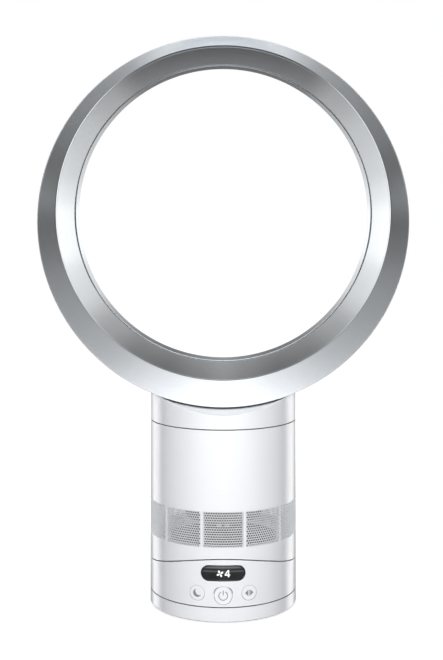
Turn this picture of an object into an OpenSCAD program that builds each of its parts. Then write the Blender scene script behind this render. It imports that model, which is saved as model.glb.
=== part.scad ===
// Bladeless desk fan: a ring-shaped air nozzle on a round body that tilts and swings on its foot.
// Lengths are in millimetres and angles in degrees. +Z is up and the front faces -Y.
// The origin is on the table, on the axis of the round body.

/* [Body] */
// Outer radius of the round body, from the foot to the neck
body_r = 72; // [70:1:76]
// Wall of the outer casings
wall = 2.2; // [1.8:0.1:2.6]
// Height of the seam between the foot and the control section
foot_h = 15; // [14.5:0.5:17]
// Height of the seam between the body and the neck
body_top = 181; // [178:1:188]
// Width of the dark seams between the outer casings
seam = 0.8; // [0.6:0.1:1]

/* [Tilt] */
// Lowest height of the tilt seam, at the sides of the body
tilt_base_z = 45; // [44.5:0.5:46]
// Radius of the tilt seam about the tilt axis
tilt_r = 178; // [175:1:181]
// Tilt each way from upright
tilt_angle = 10; // [6:1:10]

/* [Ring] */
// Radius of the bore at the nozzle lip
bore_r = 148.3; // [144:0.1:152]
// How much larger the front rim is than the bore
rim_w = 29.7; // [28:0.1:34]
// Height of the neck between the body and the rim
neck_h = 17; // [16:1:22]
// How far the rim's centre lies below the bore's centre
rim_drop = 8; // [5:0.5:9]
// Depth of the ring from front to back
ring_depth = 94; // [88:1:100]
// Width of the air slot behind the lip
slot_w = 1.3; // [1:0.1:1.8]
// Flare of the guide surface
guide_angle = 8.8; // [7:0.1:9.2]
// Slope of the front bezel
bezel_angle = 30; // [24:1:34]

/* [Air inlet] */
// Lowest edge of the perforated band
grille_z0 = 71; // [69:1:73]
// Highest edge of the perforated band
grille_z1 = 104; // [98:1:106]
// Number of perforated panels round the body
panel_count = 11; // [9:1:12]
// Width of the plain rib between two panels
rib_w = 2.6; // [2:0.1:4]
// Rows of holes in a panel
hole_rows = 5; // [3:1:5]
// Columns of holes in a panel
hole_columns = 6; // [3:1:6]
// Radius of a hole
hole_r = 1.9; // [1:0.1:2]

/* [Controls] */
// Width of the display window
window_w = 42; // [34:1:44]
// Height of the display window
window_h = 15; // [12:0.5:15]
// Height of the window's centre
window_z = 47; // [46.5:0.5:47.5]
// Radius of the power button
power_r = 8.3; // [7:0.1:8.4]
// Height of the power button's centre
power_z = 26.1; // [26:0.1:27]
// Radius of the two side buttons
side_r = 6.8; // [5.5:0.1:7]
// Distance of each side button from the middle
side_x = 24.4; // [23:0.1:25]
// Height of the side buttons' centres
side_z = 27.7; // [27.6:0.1:28.4]
// Travel of a button
button_travel = 0.8; // [0.4:0.1:1]

/* [Swing drive] */
// Pitch radius of the fixed gear
gear_r = 28; // [27:0.5:29]
// Teeth on the fixed gear
gear_teeth = 56; // [52:2:60]
// Teeth on the motor's pinion
pinion_teeth = 14; // [12:1:16]

/* [Fan] */
// Number of impeller blades
blade_count = 9; // [5:1:11]
// Number of diffuser vanes
vane_count = 11; // [5:1:13]
// Space between the inner face of the casing and the air duct
duct_gap = 12.8; // [11.8:0.5:14.8]
// Radius of the motor bucket
bucket_r = 40; // [38:0.5:42]
// Radius of the air inlet below the impeller
inlet_r = 30; // [26:0.5:32]

/* [Hidden] */
$fn = 96;

// Shared clearances and overruns
cut = 1;             // overrun of every cutting shape past the face it cuts
fit = 0.2;           // gap between pieces that stay still on each other
run = 0.05;          // running gap between a shaft and its bore
hairline = 0.3;      // visible gap between fixed outer pieces
skin = 2;            // wall of the inner mouldings
thin = 1.2;          // wall of the thinnest ribs and flanges
turn = 360;          // a full turn

// Screws
screw_r = 1.25;      // thread radius
thread_hole_r = 1.3; // hole that the thread bites in
screw_hole_r = 1.6;  // clearance hole
head_r = 2.5;        // head radius
head_h = 1.5;        // head height
socket_r = 1;        // hexagon socket in the head, across its corners
socket_d = 0.8;      // depth of that socket
boss_r = 4.2;        // radius of the bosses that take screws

// Inner faces of the round casings
inner_r = body_r - wall;
liner_r = inner_r - fit;
duct_r = inner_r - duct_gap;
tilt_z = tilt_base_z + tilt_r;

// Foot
pad_gap = 1;         // height of the foot shell above the table
pad_r = 7;
pad_recess = 0.4;
pad_count = 6;
pad_ring_share = 0.8;
pad_ring_r = body_r * pad_ring_share;
edge_r = 1.5;        // rounding of the foot's lower edge
foot_top = foot_h - seam / 2;
deck_t = 2.4;        // thickness of the foot's top deck
deck_z = foot_top - deck_t;
plate_t = 2.6;       // thickness of the foot's bottom plate
plate_z1 = pad_gap + plate_t;
foot_screw_count = 6;
foot_boss_ring_r = inner_r - boss_r - cut;

// Swing bearing
hub_r = 12.5;
hub_bore_r = 5.6;
turntable_t = 3.4;
turntable_z = foot_h + seam / 2;
turntable_top = turntable_z + turntable_t;
glide_in = 19.8;      // from the casing's inner face in to the glide ring's bore
glide_r0 = inner_r - glide_in;
glide_w = 6;
glide_sink = 1.2;
hub_top = turntable_top + hairline;
gear_screw_count = 3;
gear_screw_ring_r = (hub_r + hub_bore_r) / 2;

// Swing gears
gear_t = 4;
pressure_angle = 20;
tooth_backlash = 0.12;
root_share = 1.25;   // dedendum over the module
tip_share = 0.9;     // addendum over the module
gear_module = 2 * gear_r / gear_teeth;
pinion_r = gear_module * pinion_teeth / 2;
gear_distance = gear_r + pinion_r;
flank_steps = 6;
shaft_r = 2.5;       // radius of the swing motor's shaft
pinion_lift = 0.2;

// Swing motor
can_r = 14;
can_h = 14;
can_offset = 8;      // from the shaft to the middle of the motor
ear_x = 17.5;
ear_r = 3.5;
ear_t = 1;
motor_gap = 1.1;     // clear height between the fixed gear and the motor's ears
motor_z = hub_top + gear_t + motor_gap;
can_y = gear_distance + can_offset;
shaft_depth = 8;

// Power socket
socket_z = (plate_z1 + deck_z) / 2;
socket_bore_r = 3.2;
socket_w = 12;
socket_h = 8;
socket_bore_l = 5;
jack_w = 8;
jack_l = 9;
jack_bore_r = 2.9;
jack_bore_l = 7;
pin_r = 1;
socket_face_y = body_r - hairline;

// Board, window and buttons
board_in = 13.8;     // from the casing's inner face in to the board
board_y = board_in - inner_r;
board_t = 1.6;
board_w = 68;
board_gap = 0.6;     // clear height under the board
board_z0 = turntable_top + board_gap;
board_z1 = 49.5;
post_x = 30;
post_w = 5;
post_h = 15;
window_flange = 1.4;
module_w = 34;
module_z0 = 41;
module_z1 = 51;
module_in = 4.3;     // from the casing's inner face in to the display
module_front_y = module_in - inner_r;
receiver_w = 3.6;
receiver_x = 19.2;
flange_w = 1.2;      // how far a button's flange reaches past its cap
button_gap = 0.3;
button_in = 9.2;     // from the casing's inner face in to the back of a button
button_back_y = button_in - inner_r;
switch_w = 6;
switch_l = 3.4;
stem_r = 1.7;
stem_l = 2.6;

// Tilt joint
saddle_r = tilt_r + seam / 2;
shoe_r = tilt_r - seam / 2;
saddle_t = 2.6;
shoe_t = 2.6;
rail_x = 26;
rail_w = 5;
rail_angle = 6;      // half the angle that a rail spans about the tilt axis
slot_play = 0.4;     // spare angle at each end of a slot
keeper_w = 13;
keeper_t = 2.2;
keeper_gap = 0.3;
keeper_screw_angle = 3.6;
cable_hole_r = 9;
connector_w = 9;
connector_h = 8;
connector_in = 29.8; // from the casing's inner face in to the lead's connector
connector_y = inner_r - connector_in;
post_ring_r = inner_r - boss_r - 2 * thin;
saddle_post_z = 44;
shoe_post_z = 60.5;
seat_t = 2;          // material under a sunk screw head
seat_gap = 0.3;

// Levels in the body, up the air path
shelf_z = 113;
shelf_t = 2.5;
shelf_in = 5;        // how far the shelf reaches in from the wall
ring_pad_h = 3.5;
flange_t = 2;
flange_z = shelf_z + shelf_t + ring_pad_h;
duct_z = flange_z + flange_t;
vane_lift = 3;
vane_z0 = duct_z + vane_lift;
vane_h = 24;
vane_t = 1.2;
duct_top = 164;
top_shelf_z = 158;
inlet_z = 88;        // throat of the inlet
lip_round_r = 4;        // how far the rolled lip hangs below the throat
hub_z0 = 92;         // nose of the impeller
hub_nose_r = 8;
tip_gap = 0.8;
curve_steps = 8;
flare_power = 1.6;   // how fast the duct flares from its throat
lead_r = 1.5;
lead_hole_r = 2.1;
lead_out = 3.3;      // from the duct's outside out to the lead
lead_ring_r = duct_r + skin + lead_out;
lead_cross_z = 154;

// Motor
frame_r = 26;
frame_lift = 6;
frame_z0 = duct_z + frame_lift;
frame_h = 26;
frame_wall = 1.2;
stator_w = 13.5;     // from the rotor out to the frame's outside
rotor_r = frame_r - stator_w;
rotor_lift = 5;
rotor_z0 = frame_z0 + rotor_lift;
rotor_h = 16;
air_gap = 0.6;
tooth_count = 6;
tooth_w = 4;
core_w = 3;
coil_t = 1.8;
axle_r = 2;
bearing_r = 5;
bearing_t = 3;
damper_h = 8;
motor_board_r = 29;
motor_board_gap = 2;
motor_board_z = frame_z0 + frame_h + motor_board_gap;
cap_z = 160;
cap_h = 12;
cap_dome_r = (pow(bucket_r, 2) + pow(cap_h, 2)) / (2 * cap_h);

// Bayonet between the body and the ring's neck
collar_t = 4;
collar_r0 = liner_r - collar_t;
skirt_gap = 0.4;     // between the collar and the neck's skirt
skirt_r = collar_r0 - skirt_gap;
collar_in = 1.6;     // how far the collar stays below the top of the body
collar_top = body_top - collar_in;
skirt_lift = 6.5;
skirt_z0 = top_shelf_z + skirt_lift;
lug_count = 3;
lug_angle = 22;
lug_h = 4;
lug_reach = 2.2;
lug_lift = 2;
lug_z0 = skirt_z0 + lug_lift;
lock_angle = 20;     // twist from locked to free
track_play = 0.3;
neck_z0 = body_top + seam / 2;
neck_web_t = 2.4;
neck_seal_h = 1.7;

// Ring
rim_r = bore_r + rim_w;
rim_z = body_top + neck_h + rim_r;
ring_z = rim_z + rim_drop;
ring_front = ring_depth / 2;
ring_back = -ring_depth / 2;
lip_t = 1.4;
lip_len = 19;
lip_front = ring_back + lip_len;
nose_r = 5;          // rounding where the rear face turns into the lip
nose_lap = 2;
back_round = 12;     // rounding of the ring's outer rear edge
throat_r = bore_r + lip_t + slot_w;
lip_lap = 3;         // how far the lip reaches past the guide surface's throat
throat_h = lip_front - lip_lap;
coanda_r = 6;        // rounding of the guide surface behind the slot
curl_end = 290;      // where the rounding ends, as an angle of its section
arc_steps = 10;
spacer_count = 12;
spacer_angle = 1.2;
spacer_len = 3;
spacer_play = 0.1;
rim_edge = 2.5;      // thickness of the bezel at the rim
spigot_len = 11;
tongue_len = 12;
bezel_t = skin / cos(bezel_angle);
bezel_in_r = bore_r - rim_drop;
ring_cap_t = 2.4;    // thickness of the neck under the ring
ring_screw_in = 6;   // from the neck's inner face in to a ring screw
ring_screw_angle = asin((inner_r - ring_screw_in) / rim_r);
spot_d = 0.5;        // depth of the flat under the head of a ring screw
port_in = 9.8;       // from the casing's inner face in to the air port
port_r = inner_r - port_in;
port_y = 37;
neck_cut_r = rim_r + hairline;

// Straight flare of the guide surface: its radius at a place h forward of the ring's middle
function guide_r(h) = throat_r + (h - throat_h) * tan(guide_angle);

// Front face of the bezel: how far forward it lies at radius r about the rim's centre
function bezel_h(r) = ring_front - (rim_r - r) * tan(bezel_angle);

// Radius of a curve that flares from r0 at height z0 to r1 at height z1
function flare_r(z, z0, r0, z1, r1) = r0 + (r1 - r0) * pow((z - z0) / (z1 - z0), flare_power);

// Points up such a flare, each moved out by step_out
function flare_points(z0, r0, z1, r1, step_out = 0) =
    [for (i = [0 : curve_steps]) let (z = z0 + (z1 - z0) * i / curve_steps)
        [flare_r(z, z0, r0, z1, r1) + step_out, z]];

// Points round the middle c at radius r, from angle a0 to a1
function arc_points(c, r, a0, a1) = [for (k = [0 : arc_steps])
    let (a = a0 + (a1 - a0) * k / arc_steps) c + r * [cos(a), sin(a)]];

module lift(z) {
    translate([0, 0, z]) children();
}

module around(count, start = 0) {
    for (i = [0 : count - 1])
        rotate([0, 0, start + i * turn / count]) children();
}

module tube(r_out, r_in, h) {
    difference() {
        cylinder(r = r_out, h = h);
        lift(-cut) cylinder(r = r_in, h = h + 2 * cut);
    }
}

// A level bar of round section about the tilt axis
module tilt_bar(r) {
    lift(tilt_z) rotate([0, 90, 0]) cylinder(r = r, h = 3 * body_r, center = true);
}

// A curved strip below the tilt axis, from radius r0 to r1, half_angle each way and width wide at x
module tilt_strip(x, width, r0, r1, half_angle) {
    translate([x - width / 2, 0, tilt_z])
        rotate([-half_angle, 0, 0]) rotate([0, 90, 0])
            rotate_extrude(angle = 2 * half_angle) translate([r0, 0]) square([r1 - r0, width]);
}

// A hole or peg along Y from y0 to y1
module along_y(x, z, r, y0, y1) {
    translate([x, y0, z]) rotate([-90, 0, 0]) cylinder(r = r, h = y1 - y0);
}

// A screw with its head down at the origin and its thread up along Z
module screw(length) {
    difference() {
        cylinder(r = head_r, h = head_h);
        lift(-cut) cylinder(r = socket_r, h = socket_d + cut, $fn = 6);
    }
    lift(head_h - thin / 2) cylinder(r = screw_r, h = length + thin / 2);
}

module outline_pill(width, height) {
    hull() {
        for (side = [-1, 1])
            translate([side * (width - height) / 2, 0]) circle(r = height / 2, $fn = 48);
    }
}

// A pill-shaped bar along Y at the window, grown by grow, from y0 to y1
module window_bar(grow, y0, y1) {
    translate([0, y1, window_z]) rotate([90, 0, 0])
        linear_extrude(y1 - y0) outline_pill(window_w + 2 * grow, window_h + 2 * grow);
}

// A round cord along points, as one closed skin
function unit(v) = v / norm(v);
function cross_point(pts, i) = unit(pts[min(i + 1, len(pts) - 1)] - pts[max(i - 1, 0)]);
module cord(pts, r, sides, side_axis) {
    rings = [for (i = [0 : len(pts) - 1])
        let (t = cross_point(pts, i), u = unit(cross(t, side_axis)), v = cross(t, u))
        [for (k = [0 : sides - 1])
            pts[i] + r * (cos(k * turn / sides) * u + sin(k * turn / sides) * v)]];
    last = (len(pts) - 1) * sides;
    polyhedron(
        points = [for (ring = rings, p = ring) p],
        faces = concat(
            [[for (k = [0 : sides - 1]) k]],
            [for (i = [0 : len(pts) - 2], k = [0 : sides - 1])
                let (a = i * sides + k, b = i * sides + (k + 1) % sides)
                [a, a + sides, b + sides, b]],
            [[for (k = [sides - 1 : -1 : 0]) last + k]]));
}

// Smooth points through a list of corners, by Catmull and Rom's rule
function smooth_point(a, b, c, d, t) =
    0.5 * ((2 * b) + (c - a) * t + (2 * a - 5 * b + 4 * c - d) * t * t
        + (3 * b - a - 3 * c + d) * t * t * t);
function smooth(pts, steps) = concat(
    [for (i = [0 : len(pts) - 2], k = [0 : steps - 1])
        smooth_point(pts[max(i - 1, 0)], pts[i], pts[i + 1],
            pts[min(i + 2, len(pts) - 1)], k / steps)],
    [pts[len(pts) - 1]]);

// Foot

module foot_screw_places() {
    around(foot_screw_count) translate([foot_boss_ring_r, 0, 0]) children();
}

module foot_pad_places() {
    around(pad_count, turn / pad_count / 2) translate([pad_ring_r, 0, 0]) children();
}

module foot_shell() {
    color("white") difference() {
        rotate_extrude() polygon(concat([[0, pad_gap]],
            arc_points([body_r - edge_r, pad_gap + edge_r], edge_r, -turn / 4, 0),
            [[body_r, foot_top], [hub_r, foot_top], [hub_r, hub_top], [0, hub_top]]));
        difference() {
            lift(pad_gap - cut) cylinder(r = inner_r, h = deck_z - pad_gap + cut);
            foot_screw_places() lift(plate_z1) cylinder(r = boss_r, h = deck_z);
            lift(plate_z1 + fit) cylinder(r = hub_r, h = deck_z);
        }
        foot_screw_places() cylinder(r = thread_hole_r, h = deck_z);
        cylinder(r = hub_bore_r, h = hub_top + cut);
        lift(foot_top - glide_sink) tube(glide_r0 + glide_w + fit, glide_r0 - fit, glide_sink + cut);
        around(gear_screw_count)
            translate([gear_screw_ring_r, 0, deck_z]) cylinder(r = thread_hole_r, h = hub_top);
        translate([-socket_w / 2 - fit, inner_r - cut, socket_z - socket_h / 2 - fit])
            cube([socket_w + 2 * fit, wall + 2 * cut, socket_h + 2 * fit]);
        along_y(0, socket_z, lead_hole_r, 0, hub_r + cut);
    }
}

module foot_plate() {
    color("white") difference() {
        lift(pad_gap) cylinder(r = liner_r, h = plate_t);
        foot_pad_places() cylinder(r = pad_r + fit, h = pad_gap + pad_recess);
        foot_screw_places() {
            cylinder(r = screw_hole_r, h = plate_z1 + cut);
            cylinder(r = head_r + fit, h = pad_gap + head_h);
        }
    }
}

module foot_pads() {
    color("dimgray") foot_pad_places() cylinder(r = pad_r, h = pad_gap + pad_recess);
}

module foot_screws() {
    color("silver") foot_screw_places() lift(pad_gap) screw(plate_t + thin);
}

module glide_ring() {
    color("ivory") lift(foot_top - glide_sink)
        tube(glide_r0 + glide_w, glide_r0, glide_sink + seam - run);
}

// Involute gear outline

function involute(base_r, roll) =
    [base_r * (cos(roll) + roll * PI / 180 * sin(roll)),
     base_r * (sin(roll) - roll * PI / 180 * cos(roll))];
function roll_at(base_r, r) = r <= base_r ? 0 : sqrt(pow(r / base_r, 2) - 1) * 180 / PI;
function polar(p) = atan2(p[1], p[0]);
function spun(p, angle) = [p[0] * cos(angle) - p[1] * sin(angle), p[0] * sin(angle) + p[1] * cos(angle)];

module gear_outline(teeth, slack) {
    pitch_r = gear_module * teeth / 2;
    base_r = pitch_r * cos(pressure_angle);
    tip_r = pitch_r + tip_share * gear_module;
    root_r = pitch_r - root_share * gear_module;
    flank_r = max(base_r, root_r);
    roll0 = roll_at(base_r, flank_r);
    roll1 = roll_at(base_r, tip_r);
    half_tooth = turn / teeth / 4 - slack / 2 / pitch_r * 180 / PI;
    at_pitch = polar(involute(base_r, roll_at(base_r, pitch_r)));
    flank = [for (i = [0 : flank_steps])
        spun(involute(base_r, roll0 + (roll1 - roll0) * i / flank_steps), -at_pitch - half_tooth)];
    root_turn = polar(flank[0]);
    tooth = concat([root_r * [cos(root_turn), sin(root_turn)]], flank,
        [for (i = [flank_steps : -1 : 0]) [flank[i][0], -flank[i][1]]],
        [root_r * [cos(root_turn), -sin(root_turn)]]);
    polygon([for (k = [0 : teeth - 1], p = tooth) spun(p, k * turn / teeth)]);
}

module swing_gear() {
    color("ivory") lift(hub_top) difference() {
        linear_extrude(gear_t) rotate(turn / 4) gear_outline(gear_teeth, tooth_backlash);
        lift(-cut) cylinder(r = hub_bore_r, h = gear_t + 2 * cut);
        around(gear_screw_count)
            translate([gear_screw_ring_r, 0, -cut]) cylinder(r = screw_hole_r, h = gear_t + 2 * cut);
    }
}

module gear_screws() {
    color("silver") around(gear_screw_count)
        translate([gear_screw_ring_r, 0, hub_top + gear_t + head_h]) rotate([180, 0, 0])
            screw(gear_t + turntable_t);
}

// Power socket in the back of the foot

module power_socket() {
    socket_back_y = socket_face_y - socket_bore_l;
    color("black") difference() {
        union() {
            translate([-socket_w / 2, socket_back_y, socket_z - socket_h / 2]) intersection() {
                cube([socket_w, socket_bore_l, socket_h]);
                translate([socket_w / 2, -socket_back_y, 0]) cylinder(r = body_r - hairline, h = socket_h);
            }
            translate([-jack_w / 2, socket_back_y - jack_l, socket_z - jack_w / 2])
                cube([jack_w, jack_l + cut, jack_w]);
        }
        along_y(0, socket_z, socket_bore_r, socket_back_y, socket_face_y + cut);
        along_y(0, socket_z, jack_bore_r, socket_back_y - jack_bore_l, socket_back_y + cut);
    }
}

module socket_pin() {
    socket_back_y = socket_face_y - socket_bore_l;
    color("silver")
        along_y(0, socket_z, pin_r, socket_back_y - jack_bore_l, socket_back_y - cut);
}

module foot_lead() {
    socket_back_y = socket_face_y - socket_bore_l;
    jack_back_y = socket_back_y - jack_l;
    color("black") cord(smooth([
        [0, jack_back_y, socket_z], [0, jack_back_y - hub_r, socket_z],
        [0, 2 * hub_r, socket_z], [0, hub_r, socket_z], [0, hub_bore_r, socket_z],
        [0, lead_r, socket_z + lead_r], [0, 0, foot_top],
        [0, 0, hub_top], [0, 0, hub_top + gear_t]], 3), lead_r, 10, [1, 0, 0]);
}

// Control section

module post_places() {
    around(4, turn / 8) translate([post_ring_r, 0, 0]) children();
}

module control_shell() {
    color("white") difference() {
        union() {
            lift(turntable_z) tube(body_r, inner_r, tilt_z - turntable_z);
            post_places() {
                lift(turntable_top) cylinder(r = boss_r, h = saddle_post_z - turntable_top);
                translate([0, -boss_r / 2, turntable_top])
                    cube([inner_r - post_ring_r + wall / 2, boss_r, saddle_post_z - turntable_top]);
            }
        }
        tilt_bar(saddle_r);
        window_bar(0, -body_r - cut, -inner_r / 2);
        along_y(0, power_z, power_r + button_gap, -body_r - cut, 0);
        for (side = [-1, 1])
            along_y(side * side_x, side_z, side_r + button_gap, -body_r - cut, 0);
        post_places() {
            lift(turntable_z) cylinder(r = thread_hole_r, h = post_h);
            lift(saddle_post_z - post_h / 2) cylinder(r = thread_hole_r, h = post_h);
        }
    }
}

module turntable() {
    color("white") difference() {
        union() {
            lift(turntable_z) cylinder(r = liner_r, h = turntable_t);
            for (side = [-1, 1]) {
                translate([side * post_x - post_w / 2, board_y - post_w / 2, turntable_top - cut])
                    cube([post_w, post_w + board_t, post_h + cut]);
                translate([side * ear_x, can_y, turntable_top - cut])
                    cylinder(r = ear_r, h = motor_z - turntable_top + cut);
            }
        }
        lift(turntable_z - cut) cylinder(r = hub_r + run, h = turntable_t + 2 * cut);
        translate([-board_w / 2 - fit, board_y - fit / 2, board_z0 - fit])
            cube([board_w + 2 * fit, board_t + fit, post_h + board_z0]);
        post_places() {
            lift(turntable_z - cut) cylinder(r = screw_hole_r, h = turntable_t + 2 * cut);
            lift(turntable_z - cut) cylinder(r = head_r + fit, h = head_h + fit + cut);
        }
        for (side = [-1, 1])
            translate([side * ear_x, can_y, turntable_top]) cylinder(r = thread_hole_r, h = motor_z);
        along_y(0, power_z, power_r + flange_w + button_gap, -body_r, button_back_y + button_travel + button_gap);
    }
}

module turntable_screws() {
    color("silver") post_places() lift(turntable_z + fit) screw(turntable_t + thin * 4);
}

module control_board() {
    color("darkgreen") {
        translate([-board_w / 2, board_y, board_z0]) cube([board_w, board_t, board_z1 - board_z0]);
        for (i = [-2 : 2])
            translate([i * board_w / 6 - switch_w / 2, board_y + board_t - thin / 2, side_z])
                cube([switch_w, skin + thin / 2, switch_w * (1 + (i + 2) % 2 / 2)]);
    }
}

// The middle of each switch: x, then z
function switch_places() = [[-side_x, side_z], [0, power_z], [side_x, side_z]];

module tact_switches() {
    color("dimgray") for (p = switch_places()) difference() {
        translate([p[0] - switch_w / 2, board_y - switch_l, p[1] - switch_w / 2])
            cube([switch_w, switch_l, switch_w]);
        along_y(p[0], p[1], stem_r + run * 2, board_y - switch_l - cut, board_y - thin / 2);
    }
}

module button(x, z, r) {
    intersection() {
        lift(turntable_z) cylinder(r = body_r, h = window_z);
        along_y(x, z, r, -body_r - cut, button_back_y);
    }
    intersection() {
        lift(turntable_z) cylinder(r = inner_r - button_gap, h = window_z);
        along_y(x, z, r + flange_w, -body_r, button_back_y);
    }
    along_y(x, z, stem_r, button_back_y - cut, board_y - switch_l + stem_l - button_travel);
}

module power_button() {
    color("whitesmoke") button(0, power_z, power_r);
}

module timer_button() {
    color("whitesmoke") button(-side_x, side_z, side_r);
}

module swing_button() {
    color("whitesmoke") button(side_x, side_z, side_r);
}

module display_lens() {
    color("black") {
        intersection() {
            lift(turntable_z) tube(body_r, inner_r - skin, tilt_z);
            window_bar(-fit, -body_r - cut, -inner_r / 2);
        }
        intersection() {
            lift(turntable_z) tube(liner_r, inner_r - skin, tilt_z);
            window_bar(window_flange, -body_r, -inner_r / 2);
            difference() {
                cylinder(r = body_r, h = tilt_z);
                tilt_bar(saddle_r + saddle_t + fit);
            }
        }
    }
}

module display_module() {
    color("gainsboro") {
        translate([-module_w / 2, module_front_y, module_z0])
            cube([module_w, skin * 2, module_z1 - module_z0]);
        translate([-module_w / 3, module_front_y + skin, module_z0 + skin])
            cube([module_w * 2 / 3, board_y - module_front_y - skin, module_z1 - module_z0 - 2 * skin]);
    }
}

module remote_receiver() {
    color("black") {
        translate([receiver_x - receiver_w / 2, module_front_y + thin, window_z - receiver_w])
            cube([receiver_w, board_y - module_front_y - thin, receiver_w]);
    }
}

module swing_motor() {
    color("silver") difference() {
        union() {
            translate([0, can_y, motor_z]) cylinder(r = can_r, h = can_h);
            hull() for (side = [-1, 1])
                translate([side * ear_x, can_y, motor_z]) cylinder(r = ear_r, h = ear_t, $fn = 32);
        }
        for (side = [-1, 1])
            translate([side * ear_x, can_y, motor_z - cut]) cylinder(r = screw_hole_r, h = ear_t + 2 * cut);
        translate([0, gear_distance, motor_z - cut]) cylinder(r = shaft_r + run, h = shaft_depth + cut);
    }
}

module swing_motor_screws() {
    color("silver") for (side = [-1, 1])
        translate([side * ear_x, can_y, motor_z + ear_t + head_h]) rotate([180, 0, 0])
            screw(ear_t + skin);
}

module drive_pinion() {
    pinion_z = hub_top + pinion_lift;
    pinion_h = gear_t - pinion_lift;
    color("ivory") translate([0, gear_distance, 0]) {
        lift(pinion_z) linear_extrude(pinion_h)
            rotate(-turn / 4 + turn / pinion_teeth / 2) gear_outline(pinion_teeth, tooth_backlash);
        lift(pinion_z + pinion_h / 2) cylinder(r = shaft_r, h = motor_z + shaft_depth - run - pinion_z - pinion_h / 2);
    }
}

// Tilt joint

module rail_pair() {
    for (side = [-1, 1]) translate([side * rail_x, 0, 0]) children();
}

module saddle_clip() {
    intersection() {
        cylinder(r = liner_r, h = tilt_z);
        children();
    }
}

module tilt_saddle() {
    reach = rail_angle + tilt_angle + slot_play;
    color("white") difference() {
        union() {
            saddle_clip() difference() {
                tilt_bar(saddle_r + saddle_t);
                tilt_bar(saddle_r);
                lift(tilt_z - tilt_r / 2) cylinder(r = 2 * body_r, h = 2 * tilt_r);
            }
            post_places() lift(saddle_post_z + seat_gap) cylinder(r = boss_r, h = boss_r + seat_t);
        }
        tilt_bar(saddle_r);
        rail_pair() tilt_strip(0, rail_w + 2 * fit, saddle_r - cut, saddle_r + saddle_t + cut, reach);
        cylinder(r = cable_hole_r, h = tilt_z);
        post_places() {
            lift(saddle_post_z) cylinder(r = screw_hole_r, h = tilt_z);
            lift(saddle_post_z + seat_gap + seat_t) cylinder(r = head_r + fit, h = tilt_z);
        }
    }
}

module saddle_screws() {
    color("silver") post_places()
        lift(saddle_post_z + seat_gap + seat_t + head_h) rotate([180, 0, 0]) screw(seat_t + thin * 4);
}

module keeper_screw_places() {
    rail_pair() for (side = [-1, 1])
        lift(tilt_z) rotate([side * keeper_screw_angle, 0, 0]) children();
}

module tilt_shoe() {
    rail_end_r = saddle_r + saddle_t + keeper_gap;
    color("white") difference() {
        union() {
            saddle_clip() difference() {
                tilt_bar(shoe_r);
                tilt_bar(shoe_r - shoe_t);
                lift(tilt_z - tilt_r / 2) cylinder(r = 2 * body_r, h = 2 * tilt_r);
            }
            rail_pair() tilt_strip(0, rail_w, shoe_r - cut, rail_end_r, rail_angle);
            post_places() intersection() {
                lift(turntable_z) cylinder(r = boss_r, h = shoe_post_z - turntable_z);
                translate([-post_ring_r, 0, 0]) cylinder(r = liner_r, h = tilt_z);
            }
        }
        difference() {
            lift(turntable_z - cut) cylinder(r = body_r, h = tilt_z - tilt_r + body_r);
            tilt_bar(shoe_r);
            rail_pair() tilt_strip(0, rail_w, shoe_r - cut, rail_end_r, rail_angle);
        }
        cylinder(r = cable_hole_r, h = tilt_z);
        post_places() {
            cylinder(r = screw_hole_r, h = tilt_z);
            cylinder(r = head_r + fit, h = shoe_post_z - seat_t);
        }
        keeper_screw_places() lift(-rail_end_r - cut) cylinder(r = thread_hole_r, h = keeper_t * 2 + cut);
    }
}

module shoe_screws() {
    color("silver") post_places() lift(shoe_post_z - seat_t - head_h) screw(seat_t + thin * 4);
}

module tilt_keepers() {
    keeper_r = saddle_r + saddle_t + keeper_gap + run;
    color("white") difference() {
        rail_pair() tilt_strip(0, keeper_w, keeper_r, keeper_r + keeper_t, rail_angle);
        keeper_screw_places() lift(-keeper_r - keeper_t - cut)
            cylinder(r = screw_hole_r, h = keeper_t + 2 * cut);
    }
}

module keeper_screws() {
    keeper_r = saddle_r + saddle_t + keeper_gap + run;
    color("silver") keeper_screw_places()
        lift(-keeper_r - keeper_t - head_h - fit) screw(keeper_t + keeper_t);
}

// Body casing

module body_shell() {
    shell_top = body_top - seam / 2;
    shell_boss_h = grille_z0 - skin - shoe_post_z - seat_gap;
    color("white") difference() {
        union() {
            intersection() {
                tube(body_r, inner_r, shell_top);
                tilt_bar(shoe_r);
            }
            lift(shelf_z) tube(body_r - wall / 2, inner_r - shelf_in, shelf_t);
            lift(top_shelf_z) tube(body_r - wall / 2, duct_r + skin + skin, shelf_t);
            post_places() lift(shoe_post_z + seat_gap) {
                cylinder(r = boss_r, h = shell_boss_h);
                translate([0, -boss_r / 2, 0]) cube([inner_r - post_ring_r + wall / 2, boss_r, shell_boss_h]);
            }
        }
        panel_windows(0);
        post_places() lift(shoe_post_z) cylinder(r = thread_hole_r, h = shell_boss_h);
    }
}

// Angle of one panel, without its rib
function panel_angle() = turn / panel_count - rib_w / body_r * 180 / PI;

// The windows in the casing, made smaller by gap all round
module panel_windows(gap) {
    gap_angle = gap / body_r * 180 / PI;
    around(panel_count, -turn / 4)
        rotate([0, 0, -panel_angle() / 2 + gap_angle]) lift(grille_z0 + gap)
            rotate_extrude(angle = panel_angle() - 2 * gap_angle)
                translate([inner_r - cut, 0]) square([wall + 2 * cut, grille_z1 - grille_z0 - 2 * gap]);
}

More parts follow.
